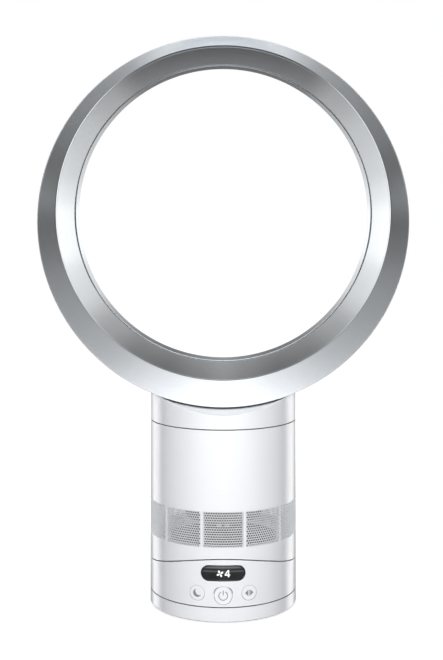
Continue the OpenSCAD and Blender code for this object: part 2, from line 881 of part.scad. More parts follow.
module inlet_grille() {
    margin = hole_r + thin;
    row_step = (grille_z1 - grille_z0 - 2 * margin) / (hole_rows - 1);
    edge_angle = (margin + rib_w / 2) / body_r * 180 / PI;
    column_step = (panel_angle() - 2 * edge_angle) / (hole_columns - 1);
    color("lightgray") difference() {
        union() {
            lift(grille_z0 - skin + fit) tube(liner_r, liner_r - skin, grille_z1 - grille_z0 + 2 * skin);
            intersection() {
                panel_windows(hairline / 2);
                lift(grille_z0 - skin) tube(body_r, liner_r - skin, grille_z1 - grille_z0 + 2 * skin);
            }
        }
        around(panel_count, -turn / 4) for (row = [0 : hole_rows - 1], column = [0 : hole_columns - 1])
            rotate([0, 0, -panel_angle() / 2 + edge_angle + column * column_step])
                lift(grille_z0 + margin + row * row_step) rotate([0, 90, 0])
                    lift(liner_r - 2 * skin) cylinder(r = hole_r, h = wall + 4 * skin, $fn = 24);
    }
}

module inlet_foam() {
    foam_top = shoe_post_z + seat_gap + skin;
    foam_r = post_ring_r - boss_r - skin;
    color("dimgray") difference() {
        intersection() {
            lift(tilt_z - tilt_r) cylinder(r = foam_r, h = foam_top - tilt_z + tilt_r);
            tilt_bar(shoe_r - shoe_t - fit);
        }
        cylinder(r = cable_hole_r, h = tilt_z);
        translate([-connector_w / 2 - skin, connector_y - connector_w / 2 - skin, 0])
            cube([connector_w + 2 * skin, foam_r, tilt_z]);
    }
}

// Air path

module impeller_shroud() {
    outer = flare_points(inlet_z, inlet_r, flange_z - thin, duct_r, skin);
    inner = flare_points(inlet_z, inlet_r, flange_z - thin, duct_r);
    last = curve_steps;
    color("gainsboro") difference() {
        union() {
            rotate_extrude() polygon(concat(inner, [[duct_r, duct_z]], [[duct_r + skin, duct_z]],
                [for (i = [last : -1 : 0]) outer[i]]));
            lift(inlet_z) rotate_extrude() translate([inlet_r + lip_round_r, 0]) difference() {
                circle(r = lip_round_r);
                circle(r = lip_round_r - skin);
                translate([-2 * lip_round_r, 0]) square([4 * lip_round_r, 2 * lip_round_r]);
            }
            lift(flange_z) tube(inner_r - fit - thin, duct_r + thin, flange_t);
        }
        flange_holes(flange_z, screw_hole_r);
    }
}

// Screw holes and the lead's hole through the duct's flanges
module flange_holes(z, r) {
    around(4, turn / 8) translate([lead_ring_r, 0, z - cut]) cylinder(r = r, h = flange_t + 2 * cut);
    rotate([0, 0, turn / 4]) translate([lead_ring_r, 0, z - cut])
        cylinder(r = lead_hole_r, h = flange_t + 2 * cut);
}

module suspension_ring() {
    color("dimgray") lift(shelf_z + shelf_t)
        tube(inner_r - thin, inner_r - shelf_in + fit, ring_pad_h);
}

module vane() {
    span = duct_r - bucket_r;
    bow = span;
    lift(vane_z0) intersection() {
        tube(duct_r + skin / 2, bucket_r - skin / 2, vane_h);
        translate([bucket_r + span / 2, -bow, 0]) tube(bow + vane_t / 2, bow - vane_t / 2, vane_h);
        translate([bucket_r - skin, -bow / 2, 0]) cube([span + 2 * skin, bow, vane_h]);
    }
}

module diffuser() {
    color("gainsboro") difference() {
        union() {
            lift(duct_z) tube(duct_r + skin, duct_r, duct_top - duct_z);
            lift(duct_z) tube(inner_r - fit - thin - skin, duct_r + thin, flange_t);
            lift(duct_z + flange_t) tube(bucket_r, bucket_r - skin, cap_z - duct_z - flange_t);
            lift(duct_z + flange_t) cylinder(r = bucket_r, h = flange_t);
            around(vane_count) vane();
        }
        lift(duct_z) cylinder(r = bearing_r + 2 * skin, h = 3 * flange_t);
        flange_holes(duct_z, thread_hole_r);
        along_y(0, lead_cross_z, lead_hole_r, bucket_r - 2 * skin, duct_r + 2 * skin);
    }
}

module duct_screws() {
    color("silver") around(4, turn / 8)
        translate([lead_ring_r, 0, flange_z - head_h]) screw(2 * flange_t + thin);
}

module duct_seal() {
    color("dimgray") lift(top_shelf_z) tube(duct_r + 2 * skin - fit, duct_r + skin + fit / 2, shelf_t);
}

module impeller() {
    hub_z1 = flange_z - skin;
    hub_r1 = bucket_r - skin;
    hub_points = flare_points(hub_z0, hub_nose_r, hub_z1, hub_r1);
    color("silver") difference() {
        union() {
            rotate_extrude() polygon(concat([[0, hub_z0]], hub_points,
                [[hub_r1, hub_z1 + skin / 2], [0, hub_z1 + skin / 2]]));
            intersection() {
                rotate_extrude() polygon(concat(
                    [for (i = [0 : curve_steps]) [hub_points[i][0] - thin, hub_points[i][1]]],
                    [for (i = [curve_steps : -1 : 0]) let (z = hub_z0 + (hub_z1 - hub_z0) * i / curve_steps)
                        [flare_r(z, inlet_z, inlet_r, flange_z - thin, duct_r) - tip_gap, z]]));
                around(blade_count) blade(hub_z1);
            }
        }
        lift(hub_z0 - cut) cylinder(r = axle_r + run / 2, h = hub_z1);
        difference() {
            lift(hub_z0 + 3 * skin) rotate_extrude() polygon(concat([[0, 0]],
                [for (i = [0 : curve_steps]) [max(hub_points[i][0] - 2 * skin, 0), hub_points[i][1] - hub_z0]],
                [[0, hub_z1 - hub_z0 + cut]]));
            cylinder(r = axle_r + skin, h = hub_z1 + cut);
        }
    }
}

// One backward-curved blade, as a bowed upright strip
module blade(top_z) {
    bow = duct_r * 0.7;
    translate([duct_r / 2, -bow * 0.9, hub_z0 - cut]) difference() {
        cylinder(r = bow + vane_t / 2, h = top_z - hub_z0 + 2 * cut);
        lift(-cut) cylinder(r = bow - vane_t / 2, h = top_z - hub_z0 + 4 * cut);
        translate([-2 * bow, -2 * bow, -cut]) cube([4 * bow, 2 * bow, 2 * top_z]);
        translate([-2 * bow - duct_r / 2, -2 * bow, -cut]) cube([2 * bow + hub_nose_r, 4 * bow, 2 * top_z]);
    }
}

module motor_shaft() {
    color("silver") lift(hub_z0 - 3 * thin)
        cylinder(r = axle_r, h = frame_z0 + frame_h + thin - hub_z0 + 3 * thin);
}

module impeller_nut() {
    color("gold") lift(hub_z0 - thin * 2) difference() {
        cylinder(r = axle_r * 2, h = thin * 2 - run, $fn = 6);
        lift(-cut) cylinder(r = axle_r + run / 2, h = thin * 4);
    }
}

module rotor_magnet() {
    color("dimgray") lift(rotor_z0) tube(rotor_r, axle_r + run / 2, rotor_h);
}

module motor_frame() {
    color("silver") lift(frame_z0) difference() {
        cylinder(r = frame_r, h = frame_h);
        lift(frame_wall + bearing_t / 2) cylinder(r = frame_r - frame_wall, h = frame_h - 2 * frame_wall - bearing_t);
        lift(-cut) cylinder(r = axle_r + skin / 2, h = frame_h + 2 * cut);
        lift(frame_wall) cylinder(r = bearing_r + fit / 4, h = bearing_t);
        lift(frame_h - frame_wall - bearing_t) cylinder(r = bearing_r + fit / 4, h = bearing_t);
    }
}

module motor_bearings() {
    color("silver") for (z = [frame_wall, frame_h - frame_wall - bearing_t])
        lift(frame_z0 + z) tube(bearing_r, axle_r + run / 2, bearing_t);
}

module stator_core() {
    tooth_l = frame_r - frame_wall - fit - rotor_r - air_gap - core_w / 2;
    color("slategray") lift(rotor_z0) {
        tube(frame_r - frame_wall - fit, frame_r - frame_wall - fit - core_w, rotor_h);
        around(tooth_count) {
            translate([rotor_r + air_gap, -tooth_w / 2, 0]) cube([tooth_l, tooth_w, rotor_h]);
            rotate([0, 0, -turn / tooth_count / 3])
                rotate_extrude(angle = turn / tooth_count * 2 / 3)
                    translate([rotor_r + air_gap, 0]) square([thin, rotor_h]);
        }
    }
}

module stator_coils() {
    coil_x = rotor_r + air_gap + thin + fit;
    coil_l = frame_r - frame_wall - fit - core_w - coil_x - 2 * fit;
    color("peru") around(tooth_count) translate([coil_x, 0, rotor_z0]) difference() {
        translate([0, -tooth_w / 2 - coil_t - fit, -coil_t - fit])
            cube([coil_l, tooth_w + 2 * coil_t + 2 * fit, rotor_h + 2 * coil_t + 2 * fit]);
        translate([-cut, -tooth_w / 2 - fit, -fit])
            cube([coil_l + 2 * cut, tooth_w + 2 * fit, rotor_h + 2 * fit]);
    }
}

module motor_damper() {
    damper_z = duct_z + 2 * flange_t;
    color("dimgray") lift(damper_z) difference() {
        cylinder(r = bucket_r - skin - fit, h = damper_h);
        lift(frame_z0 - damper_z) cylinder(r = frame_r + fit / 2, h = damper_h);
        lift(-cut) cylinder(r = frame_r - 2 * skin, h = damper_h);
    }
}

module motor_board() {
    color("darkgreen") lift(frame_z0 + frame_h) {
        around(3) translate([frame_r - boss_r, 0, 0]) cylinder(r = boss_r / 2, h = skin + thin / 2);
        lift(skin) tube(motor_board_r, axle_r + 2 * skin, board_t);
        around(6, turn / 12) translate([frame_r / 2, -switch_w / 2, skin + board_t - thin / 2])
            cube([switch_w, switch_w, skin]);
    }
}

// Height of the shoe's upper face at a place y off the tilt axis
function shoe_top_z(y) = tilt_z - sqrt(pow(shoe_r - shoe_t, 2) - pow(y, 2));
connector_z = shoe_top_z(connector_y - connector_w / 2) + fit;

module lead_connector() {
    color("white") difference() {
        translate([-connector_w / 2, connector_y - connector_w / 2, connector_z - skin])
            cube([connector_w, connector_w, connector_h + skin + thin]);
        difference() {
            cylinder(r = body_r, h = tilt_z);
            tilt_bar(shoe_r - shoe_t - run);
        }
    }
}

module motor_lead() {
    lead_top = connector_z + connector_h + thin;
    color("black") cord(smooth([
        [0, motor_board_r - 2 * skin, motor_board_z + board_t + lead_r + fit],
        [0, motor_board_r + lead_r, motor_board_z + board_t + lead_r],
        [0, motor_board_r + 3 * lead_r, lead_cross_z + lead_r / 2],
        [0, bucket_r - skin, lead_cross_z],
        [0, (bucket_r + duct_r) / 2, lead_cross_z],
        [0, duct_r, lead_cross_z],
        [0, lead_ring_r - lead_r / 4, lead_cross_z - 2 * lead_r],
        [0, lead_ring_r, lead_cross_z - 8 * lead_r],
        [0, lead_ring_r, (duct_z + lead_cross_z) / 2],
        [0, lead_ring_r, duct_z + 2 * flange_t],
        [0, lead_ring_r, flange_z - flange_t],
        [0, lead_ring_r, (grille_z0 + grille_z1) / 2],
        [0, lead_ring_r - lead_r, lead_top + 8 * lead_r],
        [0, connector_y + 6 * lead_r, lead_top + 7 * lead_r],
        [0, connector_y + lead_r, lead_top + 5 * lead_r],
        [0, connector_y, lead_top + fit]], 4), lead_r, 8, [1, 0, 0]);
}

module motor_cap() {
    color("gainsboro") difference() {
        union() {
            lift(cap_z) cylinder(r = bucket_r, h = thin);
            lift(cap_z + thin) difference() {
                dome(cap_dome_r);
                dome(cap_dome_r - skin);
            }
            lift(cap_z - skin) tube(bucket_r - skin - fit, bucket_r - 2 * skin, skin + thin / 2);
        }
        lift(cap_z - cut) cylinder(r = bucket_r - 3 * skin, h = thin + cut);
    }
}

module dome(r) {
    intersection() {
        lift(cap_h - cap_dome_r) sphere(r = r);
        cylinder(r = bucket_r, h = cap_h);
    }
}

// Bayonet

module bayonet_collar() {
    collar_z = top_shelf_z + shelf_t;
    groove_r = skirt_r + lug_reach + fit;
    reach = lug_angle / 2 + track_play;
    color("white") difference() {
        rotate([0, 0, turn / lug_count / 2]) lift(collar_z) tube(liner_r, collar_r0, collar_top - collar_z);
        around(lug_count) {
            track(groove_r, -reach, reach + track_play + lock_angle, lug_z0 - hairline,
                lug_z0 + lug_h + hairline);
            track(groove_r + run, lock_angle - reach, lock_angle + reach, lug_z0 + lug_h / 2, collar_top + cut);
        }
    }
}

// A cut for a lug, from angle a0 to a1 and from height z0 to z1
module track(r, a0, a1, z0, z1) {
    rotate([0, 0, a0]) lift(z0) rotate_extrude(angle = a1 - a0)
        translate([collar_r0 - cut, 0]) square([r - collar_r0 + cut, z1 - z0]);
}

module neck_seal() {
    color("dimgray") lift(collar_top) tube(liner_r - thin, collar_r0 + thin / 2, neck_seal_h);
}

// Ring and neck

// Turns a profile about the bore's axis: x is the radius and y is how far forward it lies
module bore_turn(angle = turn) {
    lift(ring_z) rotate([90, 0, 0]) rotate_extrude(angle = angle) children();
}

// Turns a profile about the rim's axis, below the bore's
module rim_turn() {
    lift(rim_z) rotate([90, 0, 0]) rotate_extrude() children();
}

// Everything inside the guide surface
module guide_bore() {
    far = ring_front + spigot_len;
    bore_turn() polygon([[bore_r / 2, -far], [guide_r(-far), -far], [guide_r(far), far], [bore_r / 2, far]]);
}

// Everything forward of the bezel's front face, moved back by back
module before_bezel(back) {
    far_r = rim_r + spigot_len;
    near_r = bore_r / 2;
    rim_turn() polygon([[near_r, bezel_h(near_r) - back], [far_r, bezel_h(far_r) - back],
        [far_r, 2 * ring_front], [near_r, 2 * ring_front]]);
}

// Section of a drum with a rounded rear edge, open to the front
module drum_section(r, back, front, round_r) {
    near_r = bore_r / 2;
    translate([near_r, back + round_r]) square([r - near_r, front - back - round_r]);
    translate([near_r, back]) square([r - round_r - near_r, front - back]);
    translate([r - round_r, back + round_r]) circle(r = round_r);
}

module loop_casing() {
    casing_front = ring_front - rim_edge - hairline;
    color("white") difference() {
        union() {
            difference() {
                rim_turn() drum_section(rim_r, ring_back, casing_front, back_round);
                rim_turn() drum_section(rim_r - wall, ring_back + wall, casing_front + cut, back_round - wall);
                bore_turn() translate([0, ring_back - cut]) square([bore_r + nose_r, ring_depth]);
            }
            bore_turn() lip_section();
            around_bore(spacer_count) bore_turn(spacer_angle)
                translate([bore_r + lip_t / 2, lip_front - spacer_len])
                    square([lip_t / 2 + slot_w - spacer_play, spacer_len]);
            ring_screw_places() lift(rim_r - wall - boss_r) cylinder(r = boss_r, h = boss_r + wall / 2);
        }
        air_port(0);
        ring_screw_places() lift(rim_r - 2 * wall - boss_r) cylinder(r = thread_hole_r, h = 4 * boss_r);
    }
}

module around_bore(count) {
    for (i = [0 : count - 1])
        lift(ring_z) rotate([0, (i + 0.5) * turn / count, 0]) lift(-ring_z) children();
}

// The lip that the air leaves under, with its rounded turn from the rear face
module lip_section() {
    translate([bore_r, ring_back + nose_r]) square([lip_t, lip_len - nose_r]);
    translate([bore_r + nose_r, ring_back + nose_r]) difference() {
        circle(r = nose_r);
        circle(r = nose_r - lip_t);
        translate([-2 * nose_r, 0]) square([4 * nose_r, 2 * nose_r]);
        translate([0, -2 * nose_r]) square([2 * nose_r, 4 * nose_r]);
    }
    translate([bore_r + nose_r, ring_back]) square([nose_lap, lip_t]);
}

// Upright cut where the air rises from the neck into the ring
module air_port(grow) {
    lift(neck_z0 + neck_web_t) intersection() {
        cylinder(r = port_r + grow, h = ring_z - guide_r(0) - skin - neck_z0 - neck_web_t - cut);
        translate([-body_r, -port_y - grow, 0]) cube([2 * body_r, 2 * (port_y + grow), ring_z]);
    }
}

module inner_casing() {
    wall_dir = [cos(guide_angle), -sin(guide_angle)];
    throat = [throat_r, throat_h];
    far = [guide_r(ring_front), ring_front];
    nose = throat + coanda_r * wall_dir;
    curl_start = turn / 2 - guide_angle;
    color("silver") difference() {
        bore_turn() polygon(concat([far],
            arc_points(nose, coanda_r, curl_start, curl_end),
            arc_points(nose, coanda_r - skin, curl_end, curl_start),
            [far + skin * wall_dir]));
        before_bezel(bezel_t + hairline);
    }
}

module front_bezel() {
    spigot_r = rim_r - wall - fit;
    tongue_off = (skin + fit) / cos(guide_angle);
    tongue_back = bezel_h(bezel_in_r + rim_drop) - bezel_t - tongue_len;
    color("silver") difference() {
        union() {
            rim_turn() polygon([
                [bezel_in_r, bezel_h(bezel_in_r)], [rim_r, ring_front], [rim_r, ring_front - rim_edge],
                [spigot_r, ring_front - rim_edge], [spigot_r, ring_front - spigot_len],
                [spigot_r - thin, ring_front - spigot_len], [spigot_r - thin, bezel_h(spigot_r - thin) - bezel_t],
                [bezel_in_r, bezel_h(bezel_in_r) - bezel_t]]);
            difference() {
                bore_turn() polygon([
                    [guide_r(tongue_back) + tongue_off, tongue_back],
                    [guide_r(ring_front) + tongue_off, ring_front],
                    [guide_r(ring_front) + tongue_off + thin, ring_front],
                    [guide_r(tongue_back) + tongue_off + thin, tongue_back]]);
                before_bezel(bezel_t / 2);
            }
        }
        guide_bore();
    }
}

module ring_screw_places() {
    for (side = [-1, 1])
        lift(rim_z) rotate([0, side * ring_screw_angle, 0]) mirror([0, 0, 1]) children();
}

module ring_screws() {
    color("silver") ring_screw_places() lift(neck_cut_r + ring_cap_t - spot_d + head_h) rotate([180, 0, 0])
        screw(ring_cap_t + thin * 4);
}

module loop_neck() {
    web_top = neck_z0 + neck_web_t;
    blank_h = rim_z - sqrt(pow(neck_cut_r, 2) - pow(body_r, 2)) + cut - neck_z0;
    color("white") difference() {
        union() {
            lift(neck_z0) cylinder(r = body_r, h = blank_h);
            lift(skirt_z0) cylinder(r = skirt_r, h = neck_z0 - skirt_z0 + cut);
            around(lug_count) rotate([0, 0, -lug_angle / 2]) lift(lug_z0)
                rotate_extrude(angle = lug_angle) translate([skirt_r - skin / 2, 0])
                    square([lug_reach + skin / 2, lug_h]);
        }
        difference() {
            lift(web_top) cylinder(r = inner_r, h = blank_h);
            lift(rim_z) rotate([90, 0, 0]) cylinder(r = neck_cut_r + ring_cap_t, h = 3 * body_r, center = true);
        }
        lift(rim_z) rotate([90, 0, 0]) cylinder(r = neck_cut_r, h = 3 * body_r, center = true);
        lift(skirt_z0 - cut) cylinder(r = skirt_r - skin, h = web_top - skirt_z0 + 2 * cut);
        air_port(0);
        ring_screw_places() cylinder(r = screw_hole_r, h = neck_cut_r + ring_cap_t + cut);
        ring_screw_places() lift(neck_cut_r + ring_cap_t - spot_d) cylinder(r = head_r + fit, h = head_h + cut);
    }
}

foot_shell();
foot_plate();
foot_pads();
foot_screws();
glide_ring();
swing_gear();
gear_screws();
power_socket();
socket_pin();
foot_lead();
control_shell();
turntable();
turntable_screws();
control_board();
tact_switches();
display_lens();
display_module();
remote_receiver();
swing_motor();
swing_motor_screws();
tilt_saddle();
saddle_screws();
drive_pinion();
power_button();
timer_button();
swing_button();
body_shell();
inlet_grille();
tilt_shoe();
shoe_screws();
tilt_keepers();
keeper_screws();
inlet_foam();
impeller_shroud();
suspension_ring();
diffuser();
duct_screws();
duct_seal();
motor_damper();
motor_frame();
stator_core();
stator_coils();
motor_bearings();
motor_board();
motor_lead();
lead_connector();
motor_cap();
bayonet_collar();
neck_seal();
impeller();
motor_shaft();
rotor_magnet();
impeller_nut();
loop_neck();
loop_casing();
inner_casing();
front_bezel();
ring_screws();
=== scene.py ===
import math

import bmesh
import bpy
import numpy as np
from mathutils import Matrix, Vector
from mathutils.geometry import delaunay_2d_cdt


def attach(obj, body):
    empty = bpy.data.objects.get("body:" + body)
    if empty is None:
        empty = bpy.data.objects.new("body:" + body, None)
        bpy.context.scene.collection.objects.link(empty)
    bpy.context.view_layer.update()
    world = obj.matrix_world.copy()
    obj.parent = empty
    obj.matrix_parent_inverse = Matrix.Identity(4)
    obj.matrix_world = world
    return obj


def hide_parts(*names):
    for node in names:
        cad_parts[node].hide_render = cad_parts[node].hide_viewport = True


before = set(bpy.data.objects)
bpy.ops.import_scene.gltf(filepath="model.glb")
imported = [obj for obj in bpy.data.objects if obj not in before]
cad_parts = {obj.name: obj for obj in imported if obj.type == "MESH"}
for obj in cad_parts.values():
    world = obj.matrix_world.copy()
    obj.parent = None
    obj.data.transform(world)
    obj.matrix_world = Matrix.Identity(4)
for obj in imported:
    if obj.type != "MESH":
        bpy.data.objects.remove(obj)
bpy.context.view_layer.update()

TURN = 2 * math.pi

# Sizes in millimetres, as in the part's source; MM turns them into metres.
MM = 0.001

# The body: radii of its casings, levels of its seams, and the tilt joint's axis and radii
BODY_R = 72.0
WALL = 2.2
INNER_R = BODY_R - WALL
LINER_R = INNER_R - 0.2
BASE_Z = 15.4
BODY_TOP = 180.6
NECK_Z = 181.4
TILT_Z = 223.0
SADDLE_R = 178.4
SHOE_R = 177.6

# The ring: its rim is round about one axis, its bore about another one, DROP higher.
# Heights run forwards from its middle plane.
RIM_R = 178.0
RIM_Z = 376.0
RING_Z = 384.0
DROP = RING_Z - RIM_Z
FRONT = 47.0
BORE_R = 148.3
LIP_T = 1.4
THROAT_R = 151.0
THROAT_H = -31.0
GUIDE = math.radians(8.8)
GUIDE_LENGTH = 72.0
FLARE = 0.0005
CREASE_H = 37.0
GAP = 0.3

# The air port through the neck, the screw bosses, and what is let into the casings
PORT_R, PORT_HALF = 60.0, 37.0
BOSS_R, POST_CIRCLE = 4.2, 63.2
GRILLE_Z0, GRILLE_Z1 = 71.0, 104.0
PANELS = 11
PANEL = TURN / PANELS
RIB = 2.6 / BODY_R
WINDOW_Z, WINDOW_W, WINDOW_H = 47.0, 42.0, 15.0
# Each button's x, z and radius
BUTTONS = {"power": (0.0, 26.1, 8.3), "timer": (-24.4, 27.7, 6.8), "swing": (24.4, 27.7, 6.8)}
# How deep a key's face lies in the casing, how hollow it is, and its rim's rounding
KEY_SINK, KEY_HOLLOW, KEY_SOFT = 0.06, 0.28, 0.55


# Node materials

# How near another surface has to be, in metres, for painted shade on a plastic one
SHADE_REACH = 0.0024


class Nodes:
    """The node tree of a material or of the world, built up call by call."""

    def __init__(self, owner, out="ShaderNodeOutputMaterial", coord="Object"):
        self.owner = bpy.data.materials.new(owner) if isinstance(owner, str) else owner
        self.owner.use_nodes = True
        self.tree = self.owner.node_tree
        self.tree.nodes.clear()
        self.out = self.add(out)
        self.coord = self.add("ShaderNodeTexCoord").outputs[coord]

    def add(self, kind, **values):
        node = self.tree.nodes.new(kind)
        for key, value in values.items():
            setattr(node, key, value)
        return node

    def feed(self, pairs):
        """Gives each socket its value; a value that is itself a socket is linked in."""
        for socket, value in pairs:
            if isinstance(value, bpy.types.NodeSocket):
                self.tree.links.new(value, socket)
            else:
                socket.default_value = value

    def put(self, node, **inputs):
        self.feed((node.inputs[key.replace("_", " ")], value) for key, value in inputs.items())
        return node

    def noise(self, scale, detail=2.0, rough=0.5, stretch=None):
        """Noise over the object, from 0 to 1; scale is features per metre."""
        where = self.coord
        if stretch:
            mapping = self.put(self.add("ShaderNodeMapping"), Vector=where, Scale=stretch)
            where = mapping.outputs["Vector"]
        node = self.add("ShaderNodeTexNoise")
        self.put(node, Vector=where, Scale=scale, Detail=detail, Roughness=rough)
        return node.outputs["Fac"]

    def band(self, value, low, high, from_low=0.3, from_high=0.7):
        """Goes from low to high while the value goes from from_low to from_high."""
        node = self.add("ShaderNodeMapRange", clamp=True)
        self.put(node, Value=value, From_Min=from_low, From_Max=from_high, To_Min=low, To_Max=high)
        return node.outputs["Result"]

    def mix(self, fac, a, b):
        """Colour a where fac is 0, b where it is 1."""
        node = self.add("ShaderNodeMix", data_type="RGBA")
        self.feed(((node.inputs[0], fac), (node.inputs[6], a), (node.inputs[7], b)))
        return node.outputs[2]

    def blend(self, fac, a, b):
        """Number a where fac is 0, b where it is 1."""
        node = self.add("ShaderNodeMix", data_type="FLOAT")
        self.feed(((node.inputs[0], fac), (node.inputs[2], a), (node.inputs[3], b)))
        return node.outputs[0]

    def join(self, fac, a, b):
        """Shader a where fac is 0, b where it is 1."""
        node = self.add("ShaderNodeMixShader")
        self.feed(zip(node.inputs, (fac, a, b)))
        return node.outputs[0]

    def math(self, kind, a, b=0.0):
        node = self.add("ShaderNodeMath", operation=kind)
        self.feed(zip(node.inputs, (a, b)))
        return node.outputs[0]

    def times(self, first, *others):
        for other in others:
            first = self.math("MULTIPLY", first, other)
        return first

    def plus(self, first, *others):
        for other in others:
            first = self.math("ADD", first, other)
        return first

    def bump(self, height, strength, depth):
        node = self.add("ShaderNodeBump")
        return self.put(node, Height=height, Strength=strength, Distance=depth).outputs["Normal"]

    def finish(self, **inputs):
        shader = self.put(self.add("ShaderNodeBsdfPrincipled"), **inputs)
        self.tree.links.new(shader.outputs[0], self.out.inputs[0])
        return self.owner

    def ramp(self, value, stops, top=3.0):
        """A smooth curve over an input from -1 to 1, through (input, output) stops up to top."""
        node = self.add("ShaderNodeValToRGB")
        curve = node.color_ramp
        curve.interpolation = "EASE"
        ends = curve.elements
        ends[0].position, ends[1].position = [(stops[i][0] + 1) / 2 for i in (0, -1)]
        ends[0].color, ends[1].color = [grey(stops[i][1] / top) for i in (0, -1)]
        for x, y in stops[1:-1]:
            ends.new((x + 1) / 2).color = grey(y / top)
        self.tree.links.new(self.band(value, 0.0, 1.0, -1.0, 1.0), node.inputs[0])
        return self.times(node.outputs[0], top)


def grey(v, warm=0.0):
    """A grey, or a slightly blue one where warm is below 0."""
    return (v * (1 + warm), v, v * (1 - warm), 1.0)


def shade(colour, factor):
    return tuple(min(c * factor, 1.0) for c in colour[:3]) + (1.0,)


def plastic(name, colour, rough, grain, relief, wear, coat=0.0, gap_shade=0.0):
    """Moulded plastic: fine relief, handling marks in the gloss, and painted shade in the gaps."""
    n = Nodes(name)
    fine = n.noise(grain, 3.0)
    broad = n.noise(14.0, 2.0)
    marks = n.noise(90.0, 4.0, 0.65)
    tint = n.mix(n.band(broad, 0.0, 1.0), shade(colour, 1 - wear * 0.35), colour)
    tint = n.mix(n.band(marks, 0.0, 0.5, 0.55, 0.75), tint, shade(colour, 1 - wear))
    if gap_shade:
        # Painted shade: the colour darkens where another surface is near, as in the gaps between
        # parts
        shadow = n.put(n.add("ShaderNodeAmbientOcclusion", samples=4), Distance=SHADE_REACH)
        gaps = n.band(shadow.outputs["AO"], 1.0, 0.0, 0.3, 0.8)
        tint = n.mix(n.times(gaps, gap_shade), tint, shade(colour, 0.12))
    gloss = n.plus(n.band(broad, rough * 0.85, rough * 1.1),
                   n.band(marks, 0.0, rough * 0.35, 0.5, 0.8))
    inputs = dict(Base_Color=tint, Roughness=gloss, Normal=n.bump(fine, 0.35, relief))
    if coat:
        inputs.update(Coat_Weight=coat, Coat_Roughness=0.06)
    return n.finish(**inputs)


def metal(name, colour, rough, stretch=(1, 1, 1), scale=900.0, wear=0.12):
    """Plated or brushed metal, with its grain along the short side of stretch."""
    n = Nodes(name)
    lines = n.noise(scale, 4.0, 0.6, stretch)
    broad = n.noise(60.0, 3.0)
    tint = n.mix(n.band(lines, 0.0, 1.0), shade(colour, 1 - wear), colour)
    tint = n.mix(n.band(broad, 0.0, 0.4), tint, shade(colour, 1 - wear * 1.6))
    return n.finish(Base_Color=tint, Metallic=1.0, Normal=n.bump(lines, 0.4, 0.00002),
                    Roughness=n.band(lines, rough * 0.75, rough * 1.3))


def rubber(name, colour, rough):
    """Dull rubber with a little dust."""
    n = Nodes(name)
    fine = n.noise(1500.0, 4.0, 0.7)
    dust = n.noise(55.0, 3.0)
    tint = n.mix(n.band(dust, 0.0, 0.35), colour, shade(colour, 1.7))
    return n.finish(Base_Color=tint, Roughness=n.band(fine, rough * 0.85, min(rough * 1.2, 1.0)),
                    Normal=n.bump(fine, 0.6, 0.00006))


def silver_paint():
    """Silver paint on plastic: tiny flakes in a clear lacquer."""
    n = Nodes("silver_paint")
    cells = n.put(n.add("ShaderNodeTexVoronoi"), Vector=n.coord, Scale=3200.0)
    flake = n.put(n.add("ShaderNodeSeparateColor"), Color=cells.outputs["Color"])
    peel = n.noise(330.0, 2.0)
    broad = n.noise(9.0, 2.0)
    tint = n.mix(n.band(flake.outputs[0], 0.0, 1.0, 0.0, 1.0), grey(0.66, -0.04), grey(0.80, -0.04))
    tint = n.mix(n.band(broad, 0.0, 0.3), tint, grey(0.70, -0.04))
    gloss = n.plus(n.band(flake.outputs[1], 0.12, 0.18, 0.0, 1.0), n.band(broad, 0.0, 0.02))
    return n.finish(Base_Color=tint, Metallic=0.92, Roughness=gloss, Coat_Weight=0.35,
                    Coat_Roughness=0.08, Normal=n.bump(peel, 0.25, 0.00002))


def foam():
    """Open-celled sound foam."""
    n = Nodes("foam_dark")
    cells = n.add("ShaderNodeTexVoronoi", feature="DISTANCE_TO_EDGE")
    n.put(cells, Vector=n.coord, Scale=620.0)
    tint = n.mix(n.band(cells.outputs["Distance"], 0.0, 1.0, 0.02, 0.2), grey(0.06), grey(0.02))
    return n.finish(Base_Color=tint, Roughness=0.95,
                    Normal=n.bump(cells.outputs["Distance"], 0.9, 0.0006))


def board():
    """A circuit board with tracks under its green lacquer."""
    n = Nodes("board_green")
    cells = n.add("ShaderNodeTexVoronoi", distance="CHEBYCHEV", feature="F1")
    n.put(cells, Vector=n.coord, Scale=320.0, Randomness=0.6)
    tracks = n.band(cells.outputs["Distance"], 0.0, 1.0, 0.35, 0.4)
    tint = n.mix(tracks, (0.02, 0.16, 0.07, 1), (0.035, 0.25, 0.12, 1))
    return n.finish(Base_Color=tint, Roughness=n.band(n.noise(200.0), 0.28, 0.42),
                    Normal=n.bump(tracks, 0.3, 0.00003))


def copper():
    """Copper wire wound in level turns."""
    n = Nodes("coil_copper")
    wave = n.add("ShaderNodeTexWave", wave_type="BANDS", bands_direction="Z")
    n.put(wave, Vector=n.coord, Scale=700.0, Distortion=0.6, Detail=1.0)
    tint = n.mix(wave.outputs["Fac"], (0.32, 0.10, 0.03, 1), (0.78, 0.36, 0.16, 1))
    return n.finish(Base_Color=tint, Metallic=1.0, Roughness=n.band(n.noise(150.0), 0.22, 0.38),
                    Normal=n.bump(wave.outputs["Fac"], 0.8, 0.0002))


def window():
    """Smoked glossy window with faint wiping marks."""
    n = Nodes("smoked_window")
    wipe = n.noise(40.0, 4.0, 0.6, (1.0, 1.0, 4.0))
    tint = n.mix(n.band(n.noise(25.0), 0.0, 1.0), (0.012, 0.0125, 0.014, 1),
                 (0.02, 0.0205, 0.023, 1))
    return n.finish(Base_Color=tint, Roughness=n.band(wipe, 0.05, 0.12), Coat_Weight=0.6,
                    Coat_Roughness=0.03, Normal=n.bump(wipe, 0.05, 0.00001))


